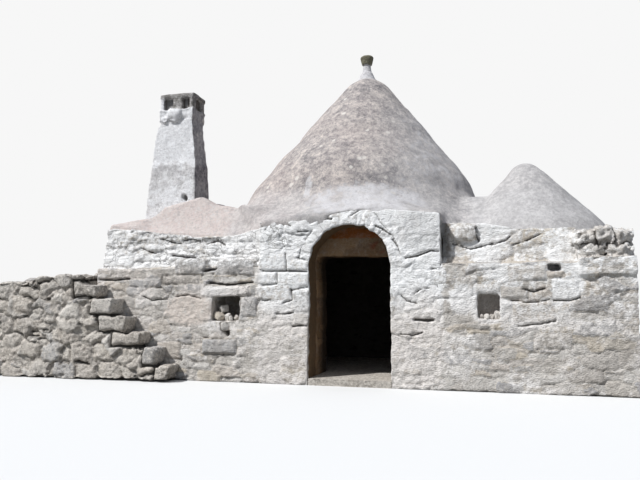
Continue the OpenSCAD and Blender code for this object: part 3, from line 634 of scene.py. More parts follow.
rubble = stone_material("rubble_stone", [(196, 190, 182), (214, 210, 204), (184, 178, 171),
                        (226, 223, 218), (204, 196, 188), (200, 190, 174),
                        (190, 188, 186), (168, 167, 168)],
                        (66, 60, 54), (250, 250, 249), warm_colour=(217, 206, 196),
                        stain_colour=(134, 106, 76), grime=0.42, lichen=0.38, cracks=0.6)
stained = stone_material("stained_stone", [(150, 122, 90), (120, 92, 64), (166, 134, 100)],
                         (44, 31, 20), (146, 118, 86), warm_colour=(150, 88, 38),
                         stain_colour=(176, 70, 32), grime=0.15, lichen=0.4, grit=0.1, cracks=0.0)
wall_lime = stone_material("rubble_limewash", [(210, 204, 194), (222, 218, 210), (196, 190, 180)],
                           (84, 76, 68), (226, 223, 218))
dry = stone_material("dry_stone", [(198, 191, 181), (214, 208, 199), (176, 171, 165),
                     (204, 195, 184), (222, 217, 209), (164, 164, 166)],
                     (34, 31, 28), (196, 190, 182), grime=0.5, lichen=0.55, grit=0.75)
PALE = ((170, 167, 167), (194, 192, 191), (213, 211, 210))
AGED = ((122, 119, 121), (173, 166, 163), (217, 207, 199))
OLIVE = ((98, 94, 78), (126, 122, 104), (150, 146, 126))
LIME = ((176, 173, 172), (222, 220, 219), (248, 247, 246))
# Dark aged colours of the chimney: worn grey and soot, and painted shade on its right-facing side
SOOT_AND_SHADE = ((88, 86, 92), (136, 132, 136), (182, 176, 174))
plaster = plaster_material("weathered_plaster", PALE, AGED, scale=3.6, spots=0.55)
chimney_skin = plaster_material("chimney_lime", LIME, SOOT_AND_SHADE, warm_colour=(74, 69, 55),
                                wash_colour=(252, 252, 253), scale=4.5, spots=0.5)
lichen_skin = plaster_material("lichen_stone", PALE, OLIVE, spot_colour=(170, 166, 140), scale=9.0)


def plain_stage():
    """A plain floor that throws back less light than it shows to the camera."""
    mesh = bpy.data.meshes.new("floor")
    corners = [(x * FLOOR_REACH, y * FLOOR_REACH, 0) for x, y in ((-1, -1), (1, -1), (1, 1), (-1, 1))]
    mesh.from_pydata(corners, [], [(0, 1, 2, 3)])
    floor = new_object("floor", mesh)
    s = Shader(bpy.data.materials.new("floor"))
    seen = s.node("ShaderNodeLightPath").outputs["Is Camera Ray"]
    mesh.materials.append(s.finish(s.mix(seen, FLOOR_BOUNCE, FLOOR_COLOUR), roughness=1.0))


# Pieces

LEFT_FRONT = ["left_front_wall", "left_upper_wall", "left_niche_lintel"]
LEFT_REAR = ["left_side_wall", "left_rear_wall"]
RIGHT_FRONT = ["right_front_wall", "right_upper_wall", "right_slab_course", "right_end_stones",
               "right_niche_plate"]
RIGHT_REAR = ["right_side_wall", "right_rear_wall"]
BAY = ["bay_left_pier", "bay_right_pier", "bay_left_spandrel", "bay_right_spandrel", "entrance_arch"]
DOOR = ["left_door_jamb", "right_door_jamb", "door_lintel", "tympanum_wall"]
MAIN = ["main_left_wall", "main_right_wall", "main_rear_wall", "corner_slabs"]
ROOF = ["main_cone_lower", "main_cone_middle", "main_cone_upper", "cone_crown", "roof_apron",
        "left_roof_fill", "left_vault", "right_cone"]
ON_WALLS = ["main_cone_lower", "roof_apron", "left_roof_fill", "left_vault", "right_cone"]
CHIMNEY = ["chimney_stack", "chimney_collar", "chimney_posts", "chimney_cap"]
FINIAL = ["finial_neck", "finial_cap"]
STAIR = ["stair_base", "stair_treads", "terrace_wall"]

# Single stones: left, right, lower and upper side, tone, limewash, how far it stands out
LEFT_STONES = [
    (-2.42, -1.92, 1.53, 1.77, 0.86, 0.45, 0.0),
    (-1.77, -1.16, 1.52, 1.76, 0.88, 0.5, 0.0),
    (-2.0, -1.21, 1.205, 1.365, 0.43, 0.95, 0.025),
    (-2.01, -1.83, 0.94, 1.19, 0.43, 0.7, 0.015),
    (-1.36, -1.1, 0.92, 1.2, 0.86, 0.4, 0.012),
    (-3.2, -2.66, 1.36, 1.49, 0.86, 0.3, 0.015),
    (-2.62, -2.02, 1.39, 1.52, 0.29, 0.4, 0.01),
    (-1.95, -1.4, 0.4, 0.62, 0.9, 0.2, 0.02),
    (-2.7, -2.3, 0.3, 0.55, 0.6, 0.2, 0.01),
]
BAY_STONES = [
    (-1.1, -0.68, 1.575, 1.8, 0.5, 0.75, 0.012),
    (-0.66, -0.345, 1.575, 1.72, 0.7, 0.7, 0.006),
    (-1.17, -0.83, 1.375, 1.545, 0.43, 0.7, 0.01),
    (-0.81, -0.345, 1.345, 1.545, 0.55, 0.75, 0.008),
    (-1.16, -0.63, 1.15, 1.355, 0.5, 0.6, 0.006),
    (-0.6, -0.345, 0.99, 1.31, 0.86, 0.6, 0.01),
    (-0.57, -0.345, 0.8, 0.97, 0.5, 0.5, 0.008),
    (1.3, 1.85, 1.36, 1.555, 0.43, 0.7, 0.006),
]
RIGHT_STONES = [
    (2.84, 3.15, 1.16, 1.43, 0.43, 0.75, 0.015),
    (2.77, 2.99, 1.435, 1.53, 0.6, 0.3, 0.02),
    (1.62, 1.94, 1.93, 2.19, 0.3, 0.55, 0.005),
    (1.87, 2.3, 1.24, 1.36, 0.43, 0.6, 0.012),
    (2.22, 2.56, 1.17, 1.33, 0.2, 0.3, 0.014),
    (2.36, 2.86, 0.88, 1.14, 0.6, 0.6, 0.008),
    (2.6, 3.05, 0.55, 0.75, 0.3, 0.5, 0.01),
    (2.32, 2.78, 1.4, 1.6, 0.5, 0.5, 0.012),
]

# Stones that lie in the niches: middle, size, tone
LOOSE_STONES = [
    ((-1.73, -2.2, 0.94), 0.14, 0.7), ((-1.6, -2.2, 0.92), 0.12, 0.43), ((-1.47, -2.18, 0.905), 0.09, 0.8),
    ((-1.7, -2.12, 1.03), 0.12, 0.15), ((-1.53, -2.25, 0.895), 0.07, 0.4), ((-1.38, -2.14, 0.9), 0.08, 0.6),
    ((-1.6, -2.26, 0.8), 0.12, 0.43), ((1.97, -2.23, 0.93), 0.07, 0.3), ((2.04, -2.25, 0.935), 0.08, 0.15),
    ((2.1, -2.22, 0.94), 0.09, 0.3), ((2.16, -2.24, 0.93), 0.07, 0.0), ((2.19, -2.2, 0.96), 0.1, 0.15),
]

# Lower edge of the mound's plaster on the left front: X and Z
LEFT_PLASTER = [(-3.74, 2.32), (-3.22, 2.275), (-2.56, 2.19), (-2.1, 2.118), (-1.75, 2.108), (-1.37, 2.17),
                (-1.1, 2.236)]

# Top of the mound's left shoulder: X and Z
SHOULDER = [(-3.8, 2.36), (-3.4, 2.39), (-3.1, 2.44), (-2.95, 2.55), (-2.8, 2.9)]

# Top of the masonry over the arch: X and its height over the level line
BAY_TOP = [(-1.1, 0), (-0.6, 0), (-0.2, 0.015), (0.1, 0.01), (0.3, 0.03), (0.5, 0.08), (0.75, 0.11),
           (0.97, 0.09), (1.2, 0.07), (1.41, 0.05), (1.5, 0.03)]

# Places on the front: X and Z
PINK_PATCH = (-2.2, 1.02)
LAYERED_STONES = (-0.72, 2.08)
TAN_STAIN = (-1.36, 1.84)
LEFT_NICHE = (-1.6, 1.03)
RIGHT_NICHE = (2.08, 1.07)
PANEL = (1.22, 2.04)

# Smooth patches of plaster on the front: middle in X and Z, radii, limewash
SMOOTH_PATCHES = [
    (PINK_PATCH, (0.55, 0.32), 0.75),
    (PANEL, (0.32, 0.3), 0.95),
    ((3.02, 1.92), (0.36, 0.2), 0.7),
    ((1.72, 1.15), (0.22, 0.25), 0.95),
    ((2.6, 0.95), (0.34, 0.2), 0.85),
    ((-0.75, 1.25), (0.3, 0.3), 0.95),
    ((2.35, 1.5), (0.4, 0.14), 0.9),
    ((2.06, 1.08), (0.34, 0.32), 0.85),
]

# Stretches of the arch's outer edge that have crumbled away, in degrees
CRUMBLED = ((12, 34), (40, 66), (104, 128), (136, 150), (158, 172))

# Cracks and open joints: width, depth, points in X and Z
LEFT_CRACKS = [
    (0.022, 0.06, (-1.858, 1.414), (-1.547, 1.376), (-1.184, 1.409)),
    (0.03, 0.07, (-1.945, 1.585), (-1.84, 1.597), (-1.75, 1.612)),
    (0.024, 0.05, (-2.53, 1.829), (-2.3, 1.8), (-2.14, 1.783)),
    (0.022, 0.05, (-3.72, 1.48), (-3.45, 1.465), (-3.19, 1.49)),
    (0.07, 0.12, (-1.615, 0.8), (-1.56, 0.7)),
    (0.016, 0.03, (-2.36, 2.03), (-2.22, 2.06), (-2.08, 2.03)),
    (0.014, 0.03, (-2.75, 2.09), (-2.55, 2.02), (-2.4, 2.0)),
    (0.016, 0.03, (-1.98, 1.99), (-1.8, 2.03), (-1.68, 1.97)),
    (0.015, 0.03, (-3.1, 1.97), (-2.92, 1.9), (-2.83, 1.88)),
    (0.014, 0.03, (-2.95, 1.22), (-2.8, 1.16), (-2.62, 1.17)),
    (0.013, 0.03, (-2.42, 1.2), (-2.2, 1.23), (-2.0, 1.19)),
]
BAY_CRACKS = [
    (0.016, 0.03, (-1.08, 1.574), (-0.716, 1.56), (-0.345, 1.557)),
    (0.013, 0.025, (-0.681, 1.806), (-0.67, 1.68), (-0.664, 1.566)),
    (0.014, 0.03, (-0.821, 1.544), (-0.82, 1.385), (-1.0, 1.37), (-1.156, 1.363)),
    (0.014, 0.03, (-0.618, 1.293), (-0.493, 1.32), (-0.347, 1.344)),
    (0.015, 0.03, (-0.619, 1.314), (-0.603, 1.149), (-0.729, 1.119)),
    (0.016, 0.035, (-0.817, 0.972), (-0.7, 0.965), (-0.58, 0.982)),
    (0.018, 0.035, (-0.579, 0.796), (-0.47, 0.81), (-0.355, 0.799)),
    (0.012, 0.02, (-0.51, 1.746), (-0.43, 1.725), (-0.357, 1.716)),
    (0.012, 0.02, (-1.19, 1.16), (-1.0, 1.14), (-0.9, 1.17)),
    (0.012, 0.02, (1.42, 1.0), (1.6, 1.03), (1.75, 1.0)),
    (0.014, 0.025, (0.95, 1.22), (1.02, 1.15), (1.14, 1.12)),
    (0.013, 0.025, (0.93, 0.72), (1.1, 0.7), (1.22, 0.74)),
    (0.02, 0.035, (0.61, 2.16), (0.71, 2.11), (0.812, 2.04)),
    (0.016, 0.03, (0.837, 1.97), (0.914, 1.864)),
    (0.009, 0.01, (0.914, 1.864), (0.947, 1.762), (1.014, 1.712)),
    (0.017, 0.035, (1.014, 1.712), (1.184, 1.74), (1.352, 1.804), (1.485, 1.792)),
    (0.009, 0.012, (1.114, 1.563), (1.265, 1.569)),
    (0.014, 0.03, (1.365, 1.567), (1.6, 1.564)),
    (0.013, 0.025, (1.419, 1.334), (1.588, 1.357), (1.841, 1.353)),
    (0.011, 0.02, (1.11, 1.234), (1.194, 1.301), (1.311, 1.317)),
    (0.028, 0.06, (1.118, 0.905), (1.24, 0.895), (1.355, 0.9)),
    (0.015, 0.03, (-0.777, 2.268), (-0.706, 2.24), (-0.604, 2.19)),
    (0.015, 0.03, (-0.508, 2.114), (-0.358, 2.118)),
    (0.018, 0.035, (-0.32, 2.225), (-0.19, 2.27), (-0.006, 2.265)),
    (0.01, 0.018, (-1.008, 2.143), (-0.933, 2.241), (-0.84, 2.109)),
    (0.01, 0.012, (-1.005, 1.874), (-0.735, 1.885)),
    (0.014, 0.02, (0.267, 2.284), (0.411, 2.34)),
    (0.011, 0.015, (-0.86, 1.98), (-0.7, 2.02), (-0.58, 1.96)),
]
RIGHT_CRACKS = [
    (0.016, 0.035, (1.61, 1.907), (1.843, 1.835), (2.127, 1.908)),
    (0.014, 0.03, (2.378, 1.875), (2.56, 1.93), (2.74, 2.021)),
    (0.02, 0.045, (1.95, 1.94), (1.945, 2.13)),
    (0.014, 0.03, (2.12, 1.885), (2.3, 1.94), (2.36, 1.99)),
    (0.013, 0.03, (2.36, 1.15), (2.62, 1.125), (2.8, 1.16)),
    (0.015, 0.035, (2.42, 0.84), (2.7, 0.865), (2.86, 0.9)),
    (0.02, 0.045, (2.5, 1.3), (2.62, 1.26), (2.75, 1.3)),
    (0.014, 0.03, (2.85, 1.15), (3.02, 1.14), (3.16, 1.19)),
    (0.022, 0.045, (3.13, 1.85), (3.3, 1.87), (3.42, 1.85)),
    (0.018, 0.035, (3.5, 1.86), (3.62, 1.85), (3.78, 1.86)),
    (0.02, 0.04, (3.36, 1.88), (3.34, 1.98), (3.37, 2.08)),
    (0.016, 0.04, (3.59, 1.88), (3.6, 1.98), (3.58, 2.08)),
    (0.018, 0.04, (3.47, 1.7), (3.46, 1.78), (3.48, 1.85)),
]


def on_arch(r, angle):
    """X and Z of a point at a radius and an angle on the arch."""
    return arch_x + r * math.cos(angle), spring_z + r * math.sin(angle)


def arch_joints(count, seed):
    """Joints between the thin stones of the arch, and the ring's broken outer edge."""
    pick = np.random.RandomState(seed)
    inner = arch_r - ARCH_RING
    found = []
    for i in range(1, count):
        angle = math.pi * (i + pick.uniform(-0.3, 0.3)) / count
        reach = inner + ARCH_RING * pick.uniform(0.55, 1.1)
        across = [on_arch(inner - 0.01, angle), on_arch(reach, angle)]
        found.append((pick.uniform(0.006, 0.011), pick.uniform(0.004, 0.018), *across))
    for first, last in CRUMBLED:
        around = [on_arch(arch_r, math.radians(a)) for a in np.linspace(first, last, 4)]
        found.append((0.011, 0.016, *around))
    return found


def step_stones():
    """The stair's treads as single long stones, one on each step."""
    low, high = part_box("stair_treads")
    going = (high.x - low.x) / STEPS
    rise = high.z / STEPS
    pick = np.random.RandomState(12)
    return [(high.x - (i + 1) * going - pick.uniform(-0.05, 0.25), high.x - i * going + 0.05,
             (i + 1) * rise - pick.uniform(0.2, 0.25), (i + 1) * rise + 0.05,
             pick.uniform(0.3, 1.0), 0.0, pick.uniform(-0.01, 0.03)) for i in range(STEPS)]


def masks(co, wash, calm=0.0, warm=0.0, stain=0.0, soot=0.0, coarse=0.0, **more):
    """One set of masks, with plain numbers spread over all points."""
    given = dict(more, wash=wash, calm=calm, warm=warm, stain=stain, soot=soot, coarse=coarse)
    return {name: np.clip(np.zeros(len(co)) + value, 0, 1) for name, value in given.items()}


def front_spot(co, place, radii, behind=0.0):
    """Soft spot at X and Z on the front, or some way behind its face."""
    return spot(co, (place[0], facade_y + behind, place[1]), radii)


def paint_facade(co, normal):
    """Limewash, warm tone, stains and painted shade of the whole front, zone by zone."""
    x, y, z = co.T
    patch = smooth(-0.25, 0.35, noise(co, 0.42, 71))
    drift = noise(co, 0.6, 72)
    left = smooth(bay_left + 0.1, bay_left - 0.1, x)
    right = smooth(bay_right - 0.02, bay_right + 0.06, x)
    bay = 1 - left - right
    upper = smooth(ledge_z - 0.04, ledge_z + 0.04, z)
    low = smooth(1.35, 0.75, z + 0.2 * drift)
    wash = left * (0.25 + 0.32 * patch + 0.4 * upper)
    wash += right * (0.42 + 0.45 * patch - 0.25 * low + 0.1 * upper)
    wash += bay * (0.92 - 0.2 * low - 0.25 * smooth(0.1, 0.6, noise(co, 0.25, 91)))
    calm = left * (0.3 - 0.2 * upper + 0.5 * patch * (1 - upper)) + right * (0.45 + 0.45 * patch)
    calm += bay * (0.62 + 0.32 * patch)
    warm = left * (0.1 * upper + (1 - upper) * (0.6 + 0.5 * drift))
    warm += right * (0.1 + 0.4 * low + 0.2 * drift)
    warm += bay * 0.6 * low
    reach = np.hypot(x - arch_x, np.maximum(z - spring_z, 0))
    layered = front_spot(co, LAYERED_STONES, (0.5, 0.5, 0.28))
    calm = calm * (1 - 0.7 * layered)
    coping = smooth(main_top - 0.12, main_top - 0.04, z) * smooth(0.35, 0.5, x) * bay
    calm = np.maximum(calm, coping)
    for place, radii, white in SMOOTH_PATCHES:
        share = front_spot(co, place, (radii[0], 0.5, radii[1]), 0.1)
        wash = wash + share * (white - wash)
        calm = np.maximum(calm, 0.9 * share)
    warm = np.maximum(warm, front_spot(co, PINK_PATCH, (0.6, 0.6, 0.36)))
    rough = smooth(3.08, 3.2, x) * smooth(1.66, 1.72, z) * smooth(-1.3, -1.5, y)
    wash = wash * (1 - 0.4 * rough)
    calm = calm * (1 - rough)
    edge_z = np.interp(x, *zip(*LEFT_PLASTER))
    top = smooth(-0.03, 0.01, z - edge_z + 0.03 * noise(co, 0.12, 92)) * left
    warm = np.maximum(warm, top)
    wash = np.maximum(wash, top)
    calm = np.maximum(calm, top)
    shelf = smooth(0.4, 0.8, normal[:, 2]) * smooth(0.1, 0.05, np.abs(z - ledge_z)) * (1 - bay)
    wash = wash * (1 - 0.8 * shelf)
    inner = (reach < arch_r - ARCH_RING + 0.015) & (bay > 0.5)
    calm = np.where(inner & (normal[:, 1] > -0.7), 1.0, calm)
    tan = 0.4 * front_spot(co, TAN_STAIN, (0.22, 0.4, 0.1), 0.1) * smooth(-0.4, 0.3, drift)
    # Browner towards the back of the right niche
    niche_brown = 0.45 * front_spot(co, RIGHT_NICHE, (0.26, 0.3, 0.28), 0.32)
    stain = np.max((inner * smooth(0.02, 0.09, y - facade_y), tan, niche_brown), axis=0)
    # Painted shade at the back of the left niche
    niche = front_spot(co, LEFT_NICHE, (0.32, 0.42, 0.3), 0.45)
    # Painted shadow: the strip right of the bay, where the bay's shadow falls on the set-back upper wall
    painted_bay_shadow = smooth(1.45, 1.48, x) * smooth(1.62, 1.54, x) * smooth(1.66, 1.76, z)
    painted_bay_shadow *= smooth(-2.27, -2.2, y)
    panel = front_spot(co, PANEL, (0.36, 0.5, 0.34), 0.1)
    # Painted shade in the room, at the back of the left niche and in the bay's shadow strip; a grey tone on
    # the panel
    soot = np.max((inside_house(co), 0.6 * niche, 0.7 * painted_bay_shadow, 0.24 * panel), axis=0)
    return masks(co, wash, calm, warm, stain, soot, rough)


def paint_door(co, normal):
    """Rust-brown plaster in the arch, over a lintel with a red stain."""
    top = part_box("door_lintel")[1].z
    band = smooth(top - 0.01, top + 0.02, co[:, 2] + 0.02 * noise(co, 0.15, 86))
    red = spot(co, (0.62, door_y, 2.0), (0.24, 0.3, 0.2)) * smooth(-0.3, 0.2, noise(co, 0.12, 87))
    streak = 0.35 * smooth(0.0, 0.4, noise(co * (2.0, 1.0, 0.3), 0.1, 89)) * (1 - band)
    # The room behind takes painted shade
    return masks(co, streak + 0.8 * band, 0.4, band, 0.9 * red, inside_house(co))


def paint_plain(co, normal):
    """Patchy limewash on the hidden walls, with painted shade in the room."""
    patch = smooth(-0.15, 0.45, noise(co, 0.6, 78))
    return masks(co, 0.35 + 0.4 * patch, 0.05 + 0.3 * patch, 0.3, 0.0, inside_house(co))


def paint_dry(co, normal):
    """Bare dry stones."""
    return masks(co, 0.0)


def paint_roof(co, normal):
    """Grey lichened plaster on the main cone, white over the entrance, pink on the left mound, and painted
    light on the cone's right flank.
    """
    x, y, z = co.T
    drift = noise(co, 0.35, 81)
    pink = smooth(-1.35, -1.95, x + 0.3 * noise(co, 0.5, 83)) * smooth(2.95, 2.75, z + 0.1 * drift)
    small = smooth(1.62, 1.95, x + 0.15 * drift) * smooth(3.7, 3.4, z)
    hump = 0.75 * spot(co, (0.42, -1.95, 2.55), (1.2, 1.2, 0.42)) * smooth(-0.7, 0.0, drift)
    streak = 0.7 * spot(co, (-0.5, -1.75, 2.8), (0.09, 0.4, 0.35))
    tip = 0.9 * smooth(0.26, 0.14, np.hypot(x, y)) * (z > TIP_Z)
    # Painted light: the cone's right flank is made paler, less aged and more limewashed, to stand in for
    # light there
    painted_light = smooth(0.1, 1.2, x) * (1 - small) * smooth(2.6, 2.9, z)
    age = (0.3 + 0.7 * smooth(2.55, 2.95, z + 0.2 * drift)) * (1 - pink) * (1 - 0.8 * small)
    age *= 1 - 0.55 * painted_light
    warm = np.maximum(pink, 0.4 * smooth(-0.2, 0.6, noise(co, 0.7, 82) - 0.25 * x) * (1 - small))
    return masks(co, np.max((hump, streak, tip, 0.48 * painted_light), axis=0), 0.0, warm, age=age)


def paint_chimney(co, normal):
    """Bright limewash above, worn grey below, darker on the right-facing side as painted shade with some
    soot, with a dull cap slab.
    """
    x, y, z = co.T
    low = smooth(WORN_Z, WORN_Z - 0.15, z + 0.15 * noise(co, 0.2, 88))
    worn = low * smooth(2.85, 3.25, z + 0.3 * noise(co, 0.2, 90))
    # Painted shade, with some soot: the right-facing side loses its limewash and takes the dark aged
    # colours
    side = smooth(0.3, 0.7, normal[:, 0])
    cap = smooth(cap_z - 0.015, cap_z + 0.005, z)
    wash = (1.15 - 0.5 * low - 0.3 * worn + 0.3 * noise(co, 0.22, 86)) * (1 - 0.9 * side)
    high = smooth(posts_z - 0.02, posts_z + 0.03, z) * (1 - cap)
    # Painted shade: the core between the posts is marked dark
    half, front, rear = CORE
    shaded_core = high * (np.abs(x - chimney_x) < half) * (y > front) * (y < rear)
    post = np.abs(x - MIDDLE_POST_X) < 0.1
    dull = np.maximum(cap, high * np.maximum(post, x > chimney_x + 0.17))
    return masks(co, wash * (1 - dull), 0.0, dull, 0.0, shaded_core, age=0.25 * worn + 0.75 * side)


def paint_finial(co, normal):
    """Pale neck under a lichened cap, with a painted warm light on the neck's right-facing side."""
    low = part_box("finial_cap")[0].z
    neck = smooth(low, low - 0.05, co[:, 2])
    age = smooth(low - 0.03, low + 0.01, co[:, 2] + 0.02 * noise(co, 0.06, 98, 2))
    # Painted light: the right-facing side of the neck takes a warm tint
    return masks(co, 0.9 * neck, 0.0, 0.5 * neck * smooth(-0.3, 0.3, normal[:, 0]), age=age)


def bay_rise(co):
    """How far what lies over the arch stands above its level line."""
    x, y, z = co.T
    edge = smooth(main_top - 0.09, main_top - 0.01, z)
    return np.interp(x, *zip(*BAY_TOP)) * smooth(-1.72, -2.0, y) * edge


def meet_rear(co, normal, move):
    """Runs a front wall's rear end into the wall behind it, so that no seam shows."""
    co[:, 1] += SEAM * smooth(walls_back_y - 0.11, walls_back_y - 0.03, co[:, 1])


def shape_bay(co, normal, move):
    """Raises the top over the arch and makes the arch's inner edge ragged."""
    x, y, z = co.T
    z += bay_rise(co)
    across = x - arch_x
    above = np.maximum(z - spring_z, 0)
    reach = np.maximum(np.hypot(across, above), 0.1)
    near = smooth(0.07, 0.02, np.abs(reach - arch_r + ARCH_RING))
    near *= smooth(facade_y + 0.2, facade_y + 0.08, y)
    arched = smooth(spring_z - 0.1, spring_z + 0.15, z)
    ragged = 0.024 * near * (0.25 + 0.75 * arched) * noise(co, 0.09, 110, 2)
    x += ragged * across / reach
    z += ragged * above / reach


def raise_roof(co, normal, move):
    """Raises the roof over the arch, keeps the mound low, and gives the cone its slim form.

    The cone runs up to a point, and its foot sweeps out to the left, but not behind the left wing."""
    x, y, z = co.T
    z += bay_rise(co)
    move -= 0.03 * smooth(left_front_y + 0.12, left_front_y, y) * (x < bay_left)
    y += 0.035 * smooth(facade_y + 0.1, facade_y, y) * smooth(0.2, 0.4, x)
    z += 0.07 * spot(co, (-3.5, -1.95, left_top + 0.2), (0.5, 0.7, 0.4))
    z -= 0.07 * spot(co, (-1.8, -1.4, left_top + 0.65), (0.55, 0.9, 0.4))
    z -= 0.8 * np.maximum(z - np.interp(x, *zip(*SHOULDER)), 0) * (x < SHOULDER[-1][0])
    reach = np.hypot(x, y)
    outer = smooth(1.2, 1.5, reach) * smooth(2.5, 2.2, reach) * smooth(0.1, 0.5, normal[:, 2] + 0.6)
    sweep = 0.2 * smooth(3.45, 2.7, z) * smooth(-0.7, -1.5, x) * outer
    sweep *= smooth(left_rear_y, left_rear_y - 0.8, y)
    slim = 0.065 * smooth(0, 0.55, z - np.interp(x, (-0.8, 0.8), (3.4, 2.95))) * smooth(0.03, 0.25, reach)
    slim *= 1 - 0.6 * smooth(3.75, 4.05, z) * smooth(0.2, 0.45, reach)
    z += 0.11 * smooth(0.24, 0.08, reach) * (z > TIP_Z)
    co[:, :2] += co[:, :2] / np.maximum(reach, 0.1)[:, None] * (sweep - slim)[:, None]


def shape_chimney(co, normal, move):
    """Sets the collar and the shaft back a little, and its left edge upright."""
    side = np.abs(normal[:, 2]) < 0.7
    x, y, z = co.T
    belt = smooth(collar_z - 0.03, collar_z + 0.01, z) * smooth(posts_z + 0.02, posts_z - 0.04, z)
    move += side * belt * (0.02 * noise(co, 0.1, 95, 2) - 0.02 * (y > -1.7))
    step = smooth(WORN_Z - 0.12, WORN_Z, z + 0.08 * noise(co, 0.15, 96))
    move -= 0.014 * (step * smooth(collar_z + 0.1, collar_z, z)) * side
    x -= 0.035 * smooth(chimney_x - 0.1, chimney_x - 0.3, x) * smooth(3.3, 3.6, z) * smooth(4.1, 3.95, z)


def shape_stair(co, normal, move):
    """Sets the rough ends of the steps back from one line."""
    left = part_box("stair_treads")[0].x
    co[:, 0] -= (0.1 + 0.06 * noise(co * (0.3, 0.3, 1), 0.3, 97, 1)) * smooth(left - 0.9, left, co[:, 0])
    co[:, 2] += 0.02 * noise(co, 0.25, 99, 2) * smooth(0.1, 0.3, co[:, 2])


def loose_stones(seats, seed):
    """Small stones that lie in the niches, as one piece."""
    pick = np.random.RandomState(seed)
    whole = bmesh.new()
    tones = []
    for middle, size, tone in seats:
        turn = Euler(pick.uniform(0, 3, 3))
        stretch = Vector(pick.uniform(0.55, 1.25, 3)) * size
        count = add_stone(whole, Matrix.LocRotScale(middle, turn, stretch), LOOSE_ROUNDNESS, 0.48)
        tones += [tone] * count
    obj = new_object("loose_stones", whole)
    co, normal = read_points(obj)
    lump = 0.02 * noise(co, 0.06, seed, 2) + 0.006 * noise(co, 0.02, seed + 1, 2)
    write_points(obj, hand_made(co + normal * lump[:, None]))
    mark(obj, stone=tones)
    obj.data.materials.append(rubble)
    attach(obj, "root")


def build(name, nodes, voxel, skin, slot, finish, *given, rounds=0, grow=0.003, extras=(), sunk=(),
          **details):
    """One piece: its frame nodes fused, finished as masonry or plaster, and put in their place."""
    obj = fuse(name, nodes, voxel, grow, rounds, extras, sunk)
    finish(obj, *given, **details)
    obj.data.materials.append(skin)
    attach(obj, "root")
    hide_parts(*nodes)


def wing(side, fronts, rears, voxel, extras, lines, named):
    """One wing: a front wall in fine stonework, and plainer walls behind it."""
    build(side + "_front", fronts, voxel, rubble, "rubble_wall", masonry, 3, COURSE, 0.04, 0.014,
          paint_facade, rounds=2, extras=extras, lines=lines, named=named, shape=meet_rear)
    build(side + "_rear", rears, 0.032, rubble, "rubble_wall", masonry, 3, COURSE, 0.04, 0.028,
          paint_facade)


# Walls

left_edge = [(-3.63, 2.05), (-3.6, 2.28)] + [(x, z - 0.02) for x, z in LEFT_PLASTER[1:]]
left_edge += [(-1.08, 2.21), (-1.08, 2.05)]
left_extras = [
    (prism, left_edge, -2.185, -2.06),
    (blocks, ((-1.12, facade_y, 0.02), (-1.03, -1.5, 1.6))),
    (boulders, ((-2.17, -2.2, 1.65), (0.26, 0.12, 0.12), 2), ((-1.46, -2.2, 1.64), (0.3, 0.12, 0.115), -2)),
]
right_edge = [(1.46, 2.0), (1.46, 2.2), (1.9, 2.19), (2.23, 2.13), (2.6, 2.08), (2.6, 2.0)]
right_extras = [
    (prism, right_edge, -2.075, -1.9),
    (blocks, ((1.42, facade_y, 0.02), (1.5, -1.5, 1.6))),
    (boulders, ((1.79, -2.06, 2.06), (0.17, 0.1, 0.12), 0)),
    (boulders, ((3.25, -2.11, 1.93), (0.14, 0.15, 0.11), 12), ((3.47, -2.12, 1.96), (0.17, 0.17, 0.11), -8),
     ((3.68, -2.09, 1.93), (0.11, 0.17, 0.12), 0), ((3.33, -2.16, 1.78), (0.15, 0.15, 0.08), -14),
     ((3.6, -2.17, 1.78), (0.15, 0.15, 0.08), 8)),
]
wing("left", LEFT_FRONT, LEFT_REAR, 0.0155, left_extras, LEFT_CRACKS, LEFT_STONES)
wing("right", RIGHT_FRONT, RIGHT_REAR, 0.017, right_extras, RIGHT_CRACKS, RIGHT_STONES)

bay_seams = [(blocks, ((bay_left - SEAM, facade_y, 0.02), (bay_left + 0.1, -2.0, ledge_z - 0.06)),
              ((bay_right - 0.1, facade_y, 0.02), (bay_right + SEAM, -2.0, ledge_z - 0.06)))]
build("entrance_bay", BAY, 0.015, rubble, "limewashed_bay", masonry, 3, COURSE, 0.04, 0.014, paint_facade,
      rounds=2, extras=bay_seams, named=BAY_STONES, lines=BAY_CRACKS + arch_joints(ARCH_STONES, 14),
      shape=shape_bay)
build("door_surround", DOOR, 0.03, stained, "stained_stone", masonry, 17, DOOR_COURSE, 0.012, 0.014,
      paint_door, bulge=0.006)
build("main_walls", MAIN, 0.034, wall_lime, "limewashed_rubble", masonry, 19, REAR_COURSE, 0.05, 0.045,
      paint_plain, bulge=0.02)

# Roofs, chimney and finial
build("plastered_roof", ROOF, 0.038, plaster, "pale_plaster", plastered, 23, paint_roof, 0.007, 0.012,
      rounds=5, sunk=ON_WALLS, shape=raise_roof)

loose_stones(LOOSE_STONES, 51)

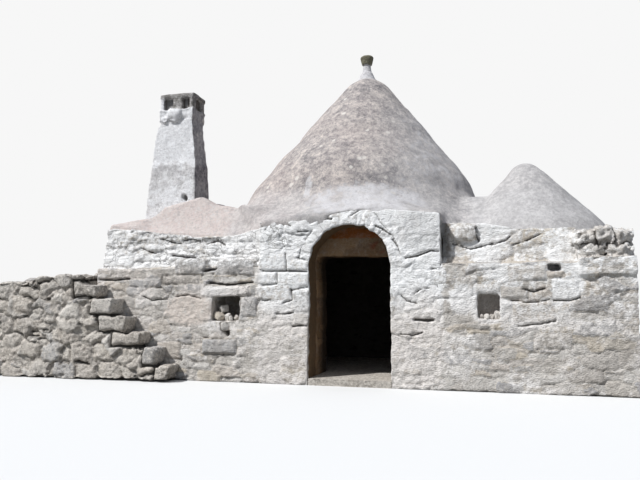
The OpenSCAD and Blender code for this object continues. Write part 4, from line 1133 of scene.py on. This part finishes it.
collar_lumps = (boulders, ((-2.84, -1.665, 4.185), (0.13, 0.062, 0.115), 6),
                ((-3.01, -1.68, 4.11), (0.07, 0.035, 0.045), 0))
# A middle post, and a core block in the smoke openings that is painted dark as their shade
post_and_core = (blocks, ((-2.88, -1.67, 4.2), (-2.7, -1.5, 4.5)), ((-3.05, -1.6, 4.2), (-2.57, -1.3, 4.5)))
build("chimney", CHIMNEY, 0.019, chimney_skin, "chimney_lime", plastered, 37, paint_chimney, 0.009, 0.014,
      extras=(collar_lumps, post_and_core), lines=[(0.05, 0.09, (-2.62, 2.81), (-2.6, 2.77))],
      shape=shape_chimney)
build("finial", FINIAL, 0.012, lichen_skin, "lichen_stone", plastered, 41, paint_finial, 0.004, 0.004)

# Stair, terrace and floors
build("stair_and_terrace", STAIR, 0.019, dry, "dry_stone", masonry, 43, TERRACE_COURSE, 0.08, 0.03,
      paint_dry, rounds=2, grow=-0.015, bulge=0.034, fine=0.01, broken=0.25, named=step_stones(),
      shape=shape_stair)
for node in ("main_floor", "alcove_floors", "threshold_stone"):
    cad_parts[node].data.materials.clear()
    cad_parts[node].data.materials.append(dry)

plain_stage()

# Light, camera and finish
scene = bpy.context.scene
scene.view_settings.view_transform = "Standard"
scene.world = bpy.data.worlds.new("world")
sky = Shader(scene.world)
rays = sky.node("ShaderNodeLightPath").outputs
seen = rays["Is Camera Ray"]
for kind in ("Is Glossy Ray", "Is Transmission Ray"):
    seen = sky.math("MAXIMUM", seen, rays[kind])
sky.link(sky.mix(seen, SKY, BACKDROP), sky.tree.nodes["Background"].inputs["Color"])
sun = new_object("sun", bpy.data.lights.new("sun", "SUN"))
sun.data.energy = SUN_STRENGTH
sun.data.angle = math.radians(SUN_SOFTNESS)
sun.rotation_euler = (math.radians(SUN_TILT), 0, math.radians(SUN_TURN))
camera = new_object("camera", bpy.data.cameras.new("camera"))
camera.data.lens = LENS
camera.location = CAMERA_PLACE
camera.rotation_euler = (math.radians(CAMERA_PITCH), 0, math.radians(CAMERA_YAW))
scene.camera = camera
